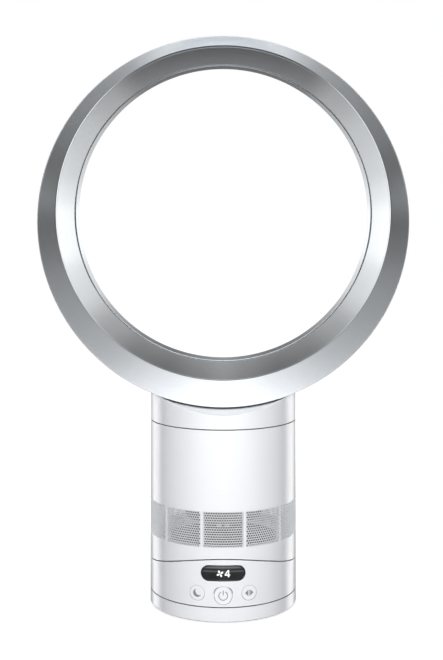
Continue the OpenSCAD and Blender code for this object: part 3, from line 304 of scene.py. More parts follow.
def lit():
    """The lit figures of the display."""
    n = Nodes("display_lit")
    glow = n.band(n.noise(900.0, 2.0), 0.86, 1.0)
    colour = n.mix(glow, (0.80, 0.84, 0.88, 1), (0.96, 0.98, 1.0, 1))
    return n.finish(Base_Color=grey(0.3), Roughness=0.4, Emission_Color=colour,
                    Emission_Strength=0.95)


def ink():
    """Grey printing on the buttons, and the painted shade round the power key."""
    n = Nodes("icon_grey")
    tint = n.mix(n.band(n.noise(1100.0, 3.0), 0.0, 1.0), grey(0.20), grey(0.30))
    return n.finish(Base_Color=tint, Roughness=n.band(n.noise(500.0), 0.35, 0.5))


WHITE = (0.842, 0.852, 0.886, 1)

# Colour, roughness, grain per metre, relief in metres, wear, clear coat and painted shade in the
# gaps
PLASTICS = {
    "white_shell": (WHITE, 0.2, 380.0, 0.000015, 0.025, 1.0, 0.9),
    "white_key": (shade(WHITE, 0.995), 0.27, 520.0, 0.000015, 0.03, 0.5, 0.2),
    # Painted shade: the band is the shell's white, darkened to read as shaded
    "grille_white": (shade(WHITE, 0.83), 0.32, 700.0, 0.00002, 0.04),
    "slide_plastic": ((0.78, 0.76, 0.69, 1), 0.38, 600.0, 0.00002, 0.08),
    "black_plastic": (grey(0.03), 0.42, 900.0, 0.00004, 0.2),
    "inner_plastic": (grey(0.62), 0.5, 800.0, 0.00005, 0.1),
    "duct_grey": (grey(0.12), 0.55, 800.0, 0.00005, 0.12),
    "switch_black": (grey(0.04), 0.4, 900.0, 0.00003, 0.2),
    "display_grey": (grey(0.4), 0.45, 800.0, 0.00003, 0.1),
    "connector_white": ((0.8, 0.8, 0.76, 1), 0.4, 700.0, 0.00003, 0.08),
    "impeller_grey": (grey(0.16), 0.45, 1200.0, 0.00005, 0.15),
}
# Colour, roughness, stretch of the grain, grain per metre and wear
METALS = {
    "zinc_steel": (grey(0.62), 0.3),
    "contact_metal": (grey(0.8), 0.16),
    "motor_steel": (grey(0.58), 0.28, (1, 1, 14), 300.0),
    "motor_alloy": (grey(0.66), 0.45, (1, 1, 1), 700.0),
    "core_iron": (grey(0.3), 0.42, (1, 1, 60), 60.0, 0.3),
    "magnet_dark": (grey(0.12), 0.4),
    "nut_brass": ((0.74, 0.55, 0.24, 1), 0.25, (1, 1, 10), 300.0),
}
# Colour and roughness
RUBBERS = {"rubber_grey": (grey(0.14), 0.7), "lead_black": (grey(0.025), 0.5)}

MATS = {"silver_paint": silver_paint(), "smoked_window": window(), "board_green": board(),
        "coil_copper": copper(), "foam_dark": foam()}
for finish, rows in ((plastic, PLASTICS), (metal, METALS), (rubber, RUBBERS)):
    MATS.update({name: finish(name, *values) for name, values in rows.items()})
LIT = lit()
INK_AND_SHADE = ink()


# Mesh building

# Edges that turn by more than this stay sharp
SHARP = math.radians(35)
RING_STEPS, BODY_STEPS, LATHE_STEPS, BOSS_STEPS, KEY_STEPS = 288, 240, 180, 24, 64


def show(name, data):
    """A new object in the scene."""
    obj = bpy.data.objects.new(name, data)
    bpy.context.scene.collection.objects.link(obj)
    return obj


def metres(points):
    return [(x * MM, y * MM, z * MM) for x, y, z in points]


def apply_modifiers(obj):
    """Puts the result of an object's modifiers into its mesh."""
    graph = bpy.context.evaluated_depsgraph_get()
    mesh = bpy.data.meshes.new_from_object(obj.evaluated_get(graph), depsgraph=graph)
    obj.modifiers.clear()
    obj.data = mesh


def weigh_normals(obj):
    """Keeps the shading of large faces even next to small rounded edges."""
    obj.modifiers.new("weighted", "WEIGHTED_NORMAL").keep_sharp = True
    apply_modifiers(obj)


def piece(name, soup, body, slot=None, replaced=(), material=None, merge=0.0, weighed=True):
    """A mesh object in metres from a soup in millimetres.
    It rides on a body and stands for the replaced nodes."""
    mesh = bpy.data.meshes.new(name)
    mesh.from_pydata(metres(soup.verts), [], soup.faces)
    bm = bmesh.new()
    bm.from_mesh(mesh)
    if merge:
        bmesh.ops.remove_doubles(bm, verts=bm.verts, dist=merge * MM)
    bmesh.ops.recalc_face_normals(bm, faces=bm.faces)
    for f in bm.faces:
        f.smooth = True
    for e in bm.edges:
        if len(e.link_faces) == 2 and e.calc_face_angle(0.0) > SHARP:
            e.smooth = False
    bm.to_mesh(mesh)
    bm.free()
    obj = show(name, mesh)
    mesh.materials.append(material or MATS[slot])
    if weighed:
        weigh_normals(obj)
    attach(obj, body)
    if replaced:
        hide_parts(*replaced)
    return obj


def add_shells(obj, soup):
    """Adds closed shells to an object's mesh."""
    bm = bmesh.new()
    bm.from_mesh(obj.data)
    made = [bm.verts.new(v) for v in metres(soup.verts)]
    faces = [bm.faces.new([made[i] for i in f]) for f in soup.faces]
    bmesh.ops.recalc_face_normals(bm, faces=faces)
    bm.to_mesh(obj.data)
    bm.free()


class Soup:
    """Points and faces gathered from several shells."""

    def __init__(self):
        self.verts, self.faces = [], []

    def add(self, verts, faces):
        base = len(self.verts)
        self.verts += [tuple(v) for v in verts]
        self.faces += [tuple(i + base for i in f) for f in faces]

    def join(self, rows, ends):
        """Joins closed rows of points side by side; the ends are open, capped or looped."""
        n, m = len(rows), len(rows[0])
        pairs = [(i * m, (i + 1) % n * m) for i in range(n if ends == "looped" else n - 1)]
        faces = [(i + k, i + (k + 1) % m, j + (k + 1) % m, j + k)
                 for i, j in pairs for k in range(m)]
        if ends == "capped":
            faces += [tuple(range(m)), tuple(range((n - 1) * m, n * m))[::-1]]
        self.add([p for row in rows for p in row], faces)


def turned(r, a, z):
    """A point at a radius and height on the body; its angle runs from the front to the right."""
    return (r * math.sin(a), -r * math.cos(a), z)


def circle(steps):
    """Angles spread evenly over a full turn."""
    return np.linspace(0, TURN, steps, endpoint=False)


def oblong(x0, z0, x1, z1):
    """Outline of a rectangle between two corners."""
    return [(x0, z0), (x1, z0), (x1, z1), (x0, z1)]


def rounded(points, radii, steps):
    """A closed outline with its corners rounded; a corner of radius 0 stays."""
    out = []
    count = len(points)
    for i, (p, r) in enumerate(zip(points, radii)):
        p = np.array(p, float)
        if r <= 0:
            out.append(tuple(p))
            continue
        a = np.array(points[i - 1], float) - p
        b = np.array(points[(i + 1) % count], float) - p
        la, lb = np.linalg.norm(a), np.linalg.norm(b)
        a, b = a / la, b / lb
        half = math.acos(max(-1.0, min(1.0, float(a @ b)))) / 2
        t = min(r / math.tan(half), 0.48 * la, 0.48 * lb)
        r = t * math.tan(half)
        mid = (a + b) / np.linalg.norm(a + b)
        c = p + mid * (r / math.sin(half))
        s, e = p + a * t - c, p + b * t - c
        sweep = math.acos(max(-1.0, min(1.0, float(s @ e) / (r * r))))
        for k in range(steps + 1):
            f = k / steps
            d = (math.sin((1 - f) * sweep) * s + math.sin(f * sweep) * e) / math.sin(sweep)
            out.append(tuple(c + d))
    return out


def lathe(soup, section):
    """Turns a closed outline of (radius, height) about the upright axis."""
    turns = [TURN * i / LATHE_STEPS for i in range(LATHE_STEPS)]
    soup.join([[turned(r, a, z) for r, z in section] for a in turns], "looped")


# The ring: every outline is worked out along a ray from the rim's axis at an angle from the top

def ray(radius, angle):
    """Distance from the rim's axis to a circle of this radius about the bore's axis."""
    c = DROP * math.cos(angle)
    return c + math.sqrt(radius ** 2 - DROP ** 2 + c ** 2)


def guide(h):
    """Radius of the guide surface, which flares a little more towards the front."""
    u = h - THROAT_H
    return THROAT_R + u * math.tan(GUIDE) + FLARE * u * (u - GUIDE_LENGTH)


def slope(angle):
    """Steepness of the bezel, which runs from the round rim to a level crease about the bore."""
    return (FRONT - CREASE_H) / (RIM_R - ray(guide(CREASE_H), angle))


def bezel(r, angle):
    return FRONT - (RIM_R - r) * slope(angle)


def bezel_depth(angle):
    """Thickness of the bezel's wall, measured along its axis."""
    return 2.0 * math.hypot(1.0, slope(angle))


def crease(angle, back=0.0, out=0.0):
    """Distance and height where the bezel's face, moved back, meets the guide, moved out."""
    rho, h = 168.0, 41.0
    for _ in range(40):
        h = bezel(rho, angle) - back
        rho = ray(guide(h) + out, angle)
    return rho, h


def ring_rows(section):
    """Rows for one ring piece; section(angle) gives its outline as (distance, height)."""
    turns = [TURN * i / RING_STEPS for i in range(RING_STEPS)]
    return [[(rho * math.sin(a), -h, RIM_Z + rho * math.cos(a)) for rho, h in section(a)]
            for a in turns]


def bore_point(r, h, angle):
    """A point at a radius about the bore's axis and a height over the ring's middle plane."""
    return (r * math.sin(angle), -h, RING_Z + r * math.cos(angle))


def bezel_section(a):
    """The bezel: its face, a spigot inside the casing and a tongue outside the guide."""
    thick = 1.2
    seat, spigot_end, tongue_end = FRONT - 2.5, FRONT - 11, 15.5
    spigot = RIM_R - WALL - 0.2
    off = 2.2 / math.cos(GUIDE)
    depth = bezel_depth(a)
    pts = [crease(a), (RIM_R, FRONT), (RIM_R, seat), (spigot, seat), (spigot, spigot_end),
           (spigot - thick, spigot_end), (spigot - thick, bezel(spigot - thick, a) - depth),
           crease(a, depth, off + thick), (ray(guide(tongue_end) + off + thick, a), tongue_end),
           (ray(guide(tongue_end) + off, a), tongue_end), crease(a, depth, off), crease(a, depth)]
    return rounded(pts, [5.0, 0.6, 0.3, 0, 0.3, 0.3, 0, 0, 0.3, 0.3, 0, 0.15], 6)


def casing_section(a):
    """The outer casing: a drum that curls in behind, and in the bore ends in a lip facing front."""
    nose_r, nose_h = BORE_R + 5.0, -42.0
    drum_r, drum_end, floor_h = RIM_R - WALL, FRONT - 2.8, -44.8
    turns = np.radians(np.linspace(-90, -180, 9))

    def curl(r, turns):
        return [((ray(nose_r + r * math.cos(t), a), nose_h + r * math.sin(t)), 0) for t in turns]

    pts = [((RIM_R, drum_end), 0.5), ((RIM_R, -FRONT), 12.0)] + curl(5.0, turns)
    pts += [((ray(BORE_R + 1.9, a), -30.5), 0.15), ((ray(BORE_R + 2.5, a), -30.7), 0.15),
            ((ray(BORE_R + 2.1, a), -33.0), 0.5), ((ray(BORE_R + LIP_T, a), -36.0), 0.5)]
    pts += curl(3.6, turns[::-1])
    pts += [((ray(nose_r + 2.0, a), -45.6), 0), ((ray(nose_r + 2.0, a), floor_h), 0),
            ((drum_r, floor_h), 9.8), ((drum_r, drum_end), 0.3)]
    return rounded([p for p, _ in pts], [r for _, r in pts], 8)


def guide_rows():
    """The inner casing, turned about the bore's axis and cut in front along the bezel."""
    nose_r, wall = 6.0, 2.0
    nose = np.array([THROAT_R, THROAT_H]) + nose_r * np.array([math.cos(GUIDE), -math.sin(GUIDE)])
    first, last = 180 - math.degrees(GUIDE), 290

    def curl(r, start, stop):
        turns = np.radians(np.linspace(start, stop, 12))
        return [tuple(nose + r * np.array([math.cos(t), math.sin(t)])) for t in turns]

    def end(out, b):
        """The front end of the surface, moved out, at an angle about the bore."""
        h = 40.0
        for _ in range(30):
            r = guide(h) + out
            x, z = r * math.sin(b), r * math.cos(b) + DROP
            a = math.atan2(x, z)
            h = bezel(math.hypot(x, z), a) - bezel_depth(a) - GAP
        return r, h

    tip = curl(nose_r, first, last) + curl(nose_r - wall, last, first)
    steps = np.linspace(0, 1, 11)[1:-1]
    rows = []
    for i in range(RING_STEPS):
        b = TURN * i / RING_STEPS
        (r0, h0), (r1, h1) = end(0.0, b), end(wall / math.cos(GUIDE), b)
        front = [(guide(h), h) for h in h0 + (THROAT_H - h0) * steps]
        behind = [(guide(h) + r1 - guide(h1), h) for h in h1 + (THROAT_H - h1) * steps]
        pts = [(r0, h0)] + front + tip + behind[::-1] + [(r1, h1)]
        radii = [0.25] + [0] * (len(pts) - 2) + [0.15]
        rows.append([bore_point(r, h, b) for r, h in rounded(pts, radii, 3)])
    return rows


def port_outline():
    """Plan of the air port: a circle cut off straight in front and behind."""
    reach = math.acos(PORT_HALF / PORT_R)
    return [(PORT_R * math.cos(side + t), PORT_R * math.sin(side + t)) for side in (0, math.pi)
            for t in np.linspace(-(math.pi / 2 - reach), math.pi / 2 - reach, 17)]


for name, rows, node in (("front_bezel_skin", ring_rows(bezel_section), "front_bezel"),
                         ("guide_skin", guide_rows(), "inner_casing")):
    soup = Soup()
    soup.join(rows, "looped")
    piece(name, soup, "loop", "silver_paint", [node])

# The outer casing is cut open for the air port
soup = Soup()
soup.join(ring_rows(casing_section), "looped")
loop_shell = piece("loop_shell", soup, "loop", "white_shell", ["loop_casing"], weighed=False)
soup = Soup()
soup.join([[(x, y, z) for x, y in port_outline()] for z in (183.8, 225.0)], "capped")
cutter = show("port_cutter", bpy.data.meshes.new("port_cutter"))
add_shells(cutter, soup)
cut = loop_shell.modifiers.new("port", "BOOLEAN")
cut.object, cut.operation, cut.solver = cutter, "DIFFERENCE", "EXACT"
apply_modifiers(loop_shell)
bpy.data.objects.remove(cutter)

# Inside it, the two screw bosses and the spacers that hold the air slot open
SPACERS = 12
soup = Soup()
for side in (-1, 1):
    a = math.radians(180 - side * 21.0)
    soup.join([[(rho * math.sin(a) + BOSS_R * math.cos(t) * math.cos(a), BOSS_R * math.sin(t),
                 RIM_Z + rho * math.cos(a) - BOSS_R * math.cos(t) * math.sin(a))
                for t in circle(BOSS_STEPS)]
               for rho in (RIM_R - WALL - BOSS_R, RIM_R - WALL / 2)], "capped")
for k in range(SPACERS):
    mid = (k + 0.5) * TURN / SPACERS
    soup.join([[bore_point(r, h, b) for r, h in oblong(149.85, -35.5, 152.2, -33.4)]
               for b in np.linspace(mid, mid + math.radians(1.2), 4)], "capped")
add_shells(loop_shell, soup)

# The lip round the bore is silver
loop_shell.data.materials.append(MATS["silver_paint"])
for face in loop_shell.data.polygons:
    x, y, z = face.center / MM
    if math.hypot(x, z - RING_Z) < BORE_R + 2.6 and y < 43.0:
        face.material_index = 1
weigh_normals(loop_shell)


# The neck

def neck():
    """A collar whose top follows the ring, then a shadow gap and a ledge that falls away."""
    seat, open_seat = RIM_R + 0.25, RIM_R + 0.85
    gap_start, gap_ramp, ledge_fall = 39.0, 0.8, 2.2
    sleeve_r, sleeve_wall, sleeve_z, floor_z = 65.2, 2.0, 164.5, NECK_Z + 2.4
    soft, under = 1.1, 0.35
    edge = BODY_R - soft

    def top(a, r):
        y = abs(r * math.cos(a))
        part = min(max((y - gap_start) / gap_ramp, 0.0), 1.0)
        fall = ledge_fall * min(max((y - FRONT) / (edge - FRONT), 0.0), 1.0) ** 1.5
        under_ring = seat + (open_seat - seat) * part
        return RIM_Z - math.sqrt(under_ring ** 2 - (r * math.sin(a)) ** 2) - fall

    rows = []
    for i in range(BODY_STEPS):
        a = TURN * i / BODY_STEPS
        flat = max(abs(math.cos(a)), 1e-6)
        port = min(PORT_R, PORT_HALF / flat)
        step = [min(max(y / flat, port + 0.01), edge - 0.01 * (3 - k))
                for k, y in enumerate((gap_start, gap_start + gap_ramp))]
        marks = (*np.linspace(port, step[0], 4), *np.linspace(step[1], edge, 7))
        line = [(r, top(a, r)) for r in marks]
        for t in np.radians(np.linspace(90, 0, 7))[1:]:
            r = BODY_R - soft * (1 - math.cos(t))
            line.append((r, top(a, r) - soft * (1 - math.sin(t))))
        for t in np.radians(np.linspace(0, 90, 4)):
            line.append((BODY_R - under * (1 - math.cos(t)), NECK_Z + under * (1 - math.sin(t))))
        # The underside, with the sleeve that goes down into the body
        line += [(sleeve_r, NECK_Z), (sleeve_r, sleeve_z), (sleeve_r - sleeve_wall, sleeve_z),
                 (sleeve_r - sleeve_wall, floor_z), (port, floor_z)]
        rows.append([turned(r, a, z) for r, z in line])
    soup = Soup()
    soup.join(rows, "looped")
    # The three bayonet lugs
    for k in range(3):
        turns = [TURN * k / 3 + math.pi / 2 + t for t in np.radians(np.linspace(-11, 11, 9))]
        lug = oblong(64.2, 166.5, 67.4, 170.5)
        soup.join([[turned(r, a, z) for r, z in lug] for a in turns], "capped")
    piece("neck_skin", soup, "loop", "white_shell", ["loop_neck"], merge=0.002)


neck()


# Round casings with holes: the skin is laid out flat by angle and height, cut, and wrapped back

def pill(w, h, steps=14):
    """Outline of a pill round the origin as (x, z)."""
    r = h / 2
    out = []
    for s in (1, -1):
        for t in np.linspace(-90, 90, steps):
            t = math.radians(t)
            out.append((s * (w / 2 - r) + s * r * math.cos(t), s * r * math.sin(t)))
    return out


def disc(r):
    return [(r * math.cos(t), r * math.sin(t)) for t in circle(48)]


def grow(loop, by):
    """Moves a closed outline out by a distance; a negative one moves it in."""
    p = np.array(loop, float)
    a, b = np.roll(p, 1, 0), np.roll(p, -1, 0)
    t = b - a
    t /= np.linalg.norm(t, axis=1)[:, None]
    n = np.stack([t[:, 1], -t[:, 0]], 1)
    area = np.sum(a[:, 0] * p[:, 1] - p[:, 0] * a[:, 1])
    return [tuple(q) for q in p + n * (by if area > 0 else -by)]


def inside(point, loop):
    x, y = point
    hit = False
    for (x0, y0), (x1, y1) in zip(loop, loop[1:] + loop[:1]):
        if (y0 > y) != (y1 > y) and x < (x1 - x0) * (y - y0) / (y1 - y0) + x0:
            hit = not hit
    return hit


def triangles(outer, holes, inner_points):
    """Triangles of a flat outline with holes, as points and faces."""
    pts = [Vector(p) for loop in [outer] + holes for p in loop]
    edges, base = [], 0
    for loop in [outer] + holes:
        n = len(loop)
        edges += [(base + i, base + (i + 1) % n) for i in range(n)]
        base += n
    pts += [Vector(p) for p in inner_points]
    v, _, f, _, _, _ = delaunay_2d_cdt(pts, edges, [], 0, 1e-7)
    keep = []
    for tri in f:
        c = sum((v[i] for i in tri), Vector((0, 0))) / len(tri)
        if inside(c, outer) and not any(inside(c, h) for h in holes):
            keep.append(tuple(tri))
    return v, keep


def casing(name, body, replaced, low, high, holes, soft, extra):
    """A round casing. low and high give its ends at a place (angle, radius).
    holes are outlines as (angle, height): each a function of (grown by, radius)."""
    soup = Soup()
    arc = [TURN * i / BODY_STEPS - math.pi for i in range(BODY_STEPS + 1)]
    fillet = [(soft * (1 - math.sin(t)), BODY_R - soft * (1 - math.cos(t)))
              for t in np.radians(np.linspace(0, 90, 4))]

    def skin(r, inset):
        """One face of the wall, drawn back from its ends and holes by inset."""
        lo = [(a * r, low(a, r) + inset) for a in arc]
        hi = [(a * r, high(a, r) - inset) for a in arc]
        flat = [[(a * r, z) for a, z in hole(inset, r)] for hole in holes]
        near = [grow(loop, 0.6) for loop in flat]
        inner = []
        for (x, z0), (_, z1) in list(zip(lo, hi))[1:-1:2]:
            rows = max(int((z1 - z0) / 9.0), 1)
            for k in range(1, rows):
                q = (x, z0 + (z1 - z0) * k / rows)
                if not any(inside(q, loop) for loop in near):
                    inner.append(q)
        v, f = triangles(lo + hi[::-1], flat, inner)
        soup.add([turned(r, p[0] / r, p[1]) for p in v], f)

    skin(BODY_R, soft)
    skin(INNER_R, 0.0)
    for end, sign in ((low, 1), (high, -1)):
        rows = [[turned(r, a, end(a, r) + sign * up) for a in arc[:-1]] for up, r in fillet]
        rows.append([turned(INNER_R, a, end(a, INNER_R)) for a in arc[:-1]])
        soup.join(rows, "open")
    for hole in holes:
        rows = [[turned(r, a, z) for a, z in hole(up, r)] for up, r in fillet]
        rows.append([turned(INNER_R, a, z) for a, z in hole(0.0, INNER_R)])
        soup.join(rows, "open")
    extra(soup)
    piece(name, soup, body, "white_shell", replaced, merge=0.004)


def straight_hole(loop, x0, z0):
    """A hole cut straight along Y: its outline keeps its x and z at every depth."""
    return lambda by, r: [(math.asin((x + x0) / r), z + z0) for x, z in grow(loop, by)]


def tilt_cut(radius):
    """Height of the tilt seam at a place on the round casing."""
    return lambda a, r: TILT_Z - math.sqrt(radius ** 2 - (r * math.cos(a)) ** 2)


def level(z):
    return lambda a, r: z


def dense(loop, step):
    """The same outline with more points on its long sides."""
    out = []
    for p, q in zip(loop, loop[1:] + loop[:1]):
        n = max(int(math.hypot(q[0] - p[0], q[1] - p[1]) / step), 1)
        out += [(p[0] + (q[0] - p[0]) * k / n, p[1] + (q[1] - p[1]) * k / n) for k in range(n)]
    return out


def panel_middle(k):
    return (k - PANELS // 2) * PANEL


def panel_hole(k):
    """One window of the perforated band, as (angle, height)."""
    w, h = (PANEL / 2 - RIB / 2) * BODY_R, (GRILLE_Z1 - GRILLE_Z0) / 2
    flat = dense(rounded(oblong(-w, -h, w, h), [0.4] * 4, 3), 1.6)
    mid, z0 = panel_middle(k), (GRILLE_Z0 + GRILLE_Z1) / 2
    return lambda by, r: [(mid + x / BODY_R, z + z0) for x, z in grow(flat, by)]


def posts(soup, z0, z1):
    """The four screw posts along the inside of a casing."""
    turns = [TURN * i / BOSS_STEPS for i in range(BOSS_STEPS)]
    for k in range(4):
        a = math.radians(45 + 90 * k)
        x, y = POST_CIRCLE * math.cos(a), POST_CIRCLE * math.sin(a)
        soup.join([[(x + BOSS_R * math.cos(t), y + BOSS_R * math.sin(t), z) for t in turns]
                   for z in (z0, z1)], "capped")


def body_inside(soup):
    """The two shelves and the posts for the tilt shoe."""
    lathe(soup, oblong(64.8, 113, 70.9, 115.5))
    lathe(soup, oblong(61, 158, 70.9, 160.5))
    posts(soup, 60.8, 69.0)


holes = [straight_hole(dense(pill(WINDOW_W, WINDOW_H), 1.5), 0, WINDOW_Z)]
holes += [straight_hole(disc(r + GAP), x, z) for x, z, r in BUTTONS.values()]
casing("control_skin", "control_base", ["control_shell"], level(BASE_Z), tilt_cut(SADDLE_R),
       holes, 0.35, lambda soup: posts(soup, 18.8, 44.0))
casing("body_skin", "main_body", ["body_shell"], tilt_cut(SHOE_R), level(BODY_TOP),
       [panel_hole(k) for k in range(PANELS)], 0.3, body_inside)


# The perforated band: rows of holes, with every other row set in by half a step

def perforated():
    """Each hole has a cell of its own; the cells of one row lie side by side."""
    soup = Soup()
    row_count, cols = 15, 16
    hole, edge, slack = 0.92, 0.22, 0.03
    front, back = BODY_R - 0.02, BODY_R - 0.7
    width = 2 * (PANEL / 2 - RIB / 2 - slack / BODY_R) * BODY_R
    z0, z1 = GRILLE_Z0 + slack, GRILLE_Z1 - slack
    step = (width - 2 * edge - 2 * hole) / (cols - 0.5)
    lift = (z1 - z0 - 2 * edge - 2 * hole) / (row_count - 1)
    margin = (z1 - z0 - (row_count - 1) * lift) / 2
    turns = [math.radians(t) for t in (0, 22, 45, 90, 135, 158, 180, 202, 225, 270, 315, 338)]

    def wrap(outline, r, mid):
        return [turned(r, mid + x / BODY_R, z) for x, z in outline]

    for mid in map(panel_middle, range(PANELS)):
        for row in range(row_count):
            # The cells' lower edge, middle and upper edge
            zc = z0 + margin + row * lift
            zb = z0 if row == 0 else zc - lift / 2
            zt = z1 if row == row_count - 1 else zc + lift / 2
            z_low, z_high = zc - (zc - zb) / 2, zc + (zt - zc) / 2
            set_in = row % 2
            first = -width / 2 + edge + hole + (step / 2 if set_in else 0.0)
            for col in range(cols):
                xc = first + col * step
                xl = -width / 2 if col == 0 and not set_in else xc - step / 2
                xr = width / 2 if col == cols - 1 and set_in else xc + step / 2
                rim = [(xr, zc), (xr, z_high), (xr, zt), (xc, zt), (xl, zt), (xl, z_high),
                       (xl, zc), (xl, z_low), (xl, zb), (xc, zb), (xr, zb), (xr, z_low)]
                ring = [(xc + hole * math.cos(t), zc + hole * math.sin(t)) for t in turns]
                soup.join([wrap(rim, front, mid), wrap(ring, front, mid), wrap(ring, back, mid),
                           wrap(rim, back, mid)], "open")
            # A plain half cell at the end where the row is set in, then the panel's edges
            x_out = -width / 2 if set_in else width / 2
            x_in = first - step / 2 if set_in else first + (cols - 1) * step + step / 2
            for r in (front, back):
                plain = [(x_out, zb), (x_in, zb), (x_in, zc), (x_in, zt), (x_out, zt), (x_out, zc)]
                soup.add(wrap(plain, r, mid), [tuple(range(6))])
            for x in (-width / 2, width / 2):
                side = [(x, zb), (x, zc), (x, zt)]
                soup.add(wrap(side, front, mid) + wrap(side, back, mid),
                         [(0, 1, 4, 3), (1, 2, 5, 4)])
            if row in (0, row_count - 1):
                z = zb if row == 0 else zt
                xs = [first + (i / 2 - 0.5) * step for i in range(2 * cols + 1)]
                xs += [-width / 2, width / 2]
                xs = sorted(set(round(x, 6) for x in xs if -width / 2 <= x <= width / 2))
                for xa, xb in zip(xs, xs[1:]):
                    ends = [(xa, z), (xb, z)]
                    soup.add(wrap(ends, front, mid) + wrap(ends[::-1], back, mid), [(0, 1, 2, 3)])
    return soup


def band_frame(soup):
    """Rings above and below the panels that hold them inside the casing, and ribs between."""
    rear = LINER_R - 1.6
    for z0, z1 in ((GRILLE_Z0 - 1.8, GRILLE_Z0 + 0.3), (GRILLE_Z1 - 0.3, GRILLE_Z1 + 2.2)):
        lathe(soup, rounded(oblong(rear, z0, LINER_R, z1), [0.3] * 4, 2))
    for k in range(PANELS):
        mid, half = (k + 0.5) * PANEL, RIB / 2
        soup.join([[turned(r, a, z) for r, z in oblong(rear, GRILLE_Z0, LINER_R, GRILLE_Z1)]
                   for a in np.linspace(mid - half - 0.004, mid + half + 0.004, 4)], "capped")


soup = perforated()
band_frame(soup)
piece("perforated_band", soup, "main_body", "grille_white", ["inlet_grille"], merge=0.01)


# Buttons, with their signs printed on, and the display

def face_y(x, r=BODY_R):
    return -math.sqrt(r * r - x * x)


def dish(s, reach):
    """How far a key's face is hollowed out at a distance s from its middle."""
    return KEY_HOLLOW / 2 * (1 + math.cos(math.pi * min(s / reach, 1.0)))


def button(key):
    """A round key with a hollow face, a soft rim, a flange and a stem."""
    x0, z0, radius = BUTTONS[key]
    # A little wider than the part's cap, for a finer gap
    radius += 0.16
    reach = radius - KEY_SOFT
    flange_r, flange_y, stem_r, stem_y = radius + 1.2, -60.6, 1.7, -57.6

    def ring(s, depth):
        """Points round the key at radius s; depth(x) gives their y."""
        return [(x0 + s * math.cos(t), depth(x0 + s * math.cos(t)), z0 + s * math.sin(t))
                for t in circle(KEY_STEPS)]

    rings = [[(x0, face_y(x0) + KEY_SINK + dish(0.0, reach), z0)]]
    for s in np.linspace(0, reach, 10)[1:]:
        rings.append(ring(s, lambda x: face_y(x) + KEY_SINK + dish(s, reach)))
    for k in range(1, 5):
        t = k / 4 * math.pi / 2
        rings.append(ring(reach + KEY_SOFT * math.sin(t),
                          lambda x: face_y(x) + KEY_SINK + KEY_SOFT * (1 - math.cos(t))))
    for s in (radius, flange_r):
        rings.append(ring(s, lambda x: face_y(x, INNER_R - 0.3)))
    for s, y in ((flange_r, flange_y), (stem_r, flange_y), (stem_r, stem_y)):
        rings.append(ring(s, lambda x: y))
    rings.append([(x0, stem_y, z0)])

    faces, base = [], 0
    for r, q in zip(rings, rings[1:]):
        nxt = base + len(r)
        for k in range(KEY_STEPS):
            j = (k + 1) % KEY_STEPS
            if len(r) == 1:
                faces.append((base, nxt + k, nxt + j))
            elif len(q) == 1:
                faces.append((base + k, nxt, base + j))
            else:
                faces.append((base + k, nxt + k, nxt + j, base + j))
        base = nxt
    soup = Soup()
    soup.add([p for r in rings for p in r], faces)
    piece(key + "_cap", soup, key + "_key", "white_key", [key + "_button"])


def inlay(name, shapes, depth, body, material, x0, z0, proud=0.03, sunk=0.15):
    """Thin shapes, printed, lit or painted as shade, that follow the face under them.
    Each shape is a list of an outline and its holes."""
    soup = Soup()

    def lay(points, off):
        return [(x0 + x, depth(x, z) + off, z0 + z) for x, z in points]

    for shape in shapes:
        outer, *holes = [dense(loop, 0.5) for loop in shape]
        field, gaps = grow(outer, -0.25), [grow(h, 0.25) for h in holes]
        xs, zs = zip(*outer)
        grid = [(float(x), float(z)) for x in np.arange(min(xs) + 0.4, max(xs), 0.8)
                for z in np.arange(min(zs) + 0.4, max(zs), 0.8)
                if inside((x, z), field) and not any(inside((x, z), gap) for gap in gaps)]
        v, f = triangles(outer, holes, grid)
        for off, flip in ((-proud, False), (sunk, True)):
            soup.add(lay(v, off), [t[::-1] if flip else t for t in f])
        for loop in [outer] + holes:
            soup.join([lay(loop, -proud), lay(loop, sunk)], "open")
    piece(name, soup, body, material=material, merge=0.002)


def sector(r0, r1, a0, a1, steps):
    """A stretch of a flat ring; angles in degrees from +x, anticlockwise."""
    turns = np.radians(np.linspace(a0, a1, steps))
    return [(r * math.cos(a), r * math.sin(a)) for r, side in ((r1, turns), (r0, turns[::-1]))
            for a in side]


def moon(r, cut_r, dx, dz):
    """A crescent: a disc less a smaller disc set off to one side."""
    d = math.hypot(dx, dz)
    along = math.atan2(dz, dx)
    meet = math.acos((r * r + d * d - cut_r * cut_r) / (2 * r * d))
    meet_cut = math.pi - math.acos((cut_r * cut_r + d * d - r * r) / (2 * cut_r * d))
    outer = np.linspace(along + meet, along + TURN - meet, 40)
    inner = np.linspace(along + TURN - meet_cut, along + meet_cut, 32)[1:-1]
    return [(r * math.cos(t), r * math.sin(t)) for t in outer] + [
        (dx + cut_r * math.cos(t), dz + cut_r * math.sin(t)) for t in inner]


def key_face(key):
    """Depth of a key's face at a place from its middle."""
    x0, _, radius = BUTTONS[key]
    return lambda x, z: face_y(x0 + x) + KEY_SINK + dish(math.hypot(x, z), radius - KEY_SOFT)


SIGNS = {
    "power": [[sector(3.7, 4.5, 118, 422, 44)], [oblong(-0.42, 0.6, 0.42, 5.0)]],
    "timer": [[moon(3.9, 3.7, 1.9, 1.6)]],
    "swing": [[[(-0.95, -2.9), (-0.95, 2.9), (-4.0, 0.0)]],
              [[(0.95, -2.9), (4.0, 0.0), (0.95, 2.9)]], [oblong(-0.3, -2.9, 0.3, 2.9)]],
}
for key in BUTTONS:
    button(key)
for key, shapes in SIGNS.items():
    inlay(key + "_sign", shapes, key_face(key), key + "_key", INK_AND_SHADE, *BUTTONS[key][:2])


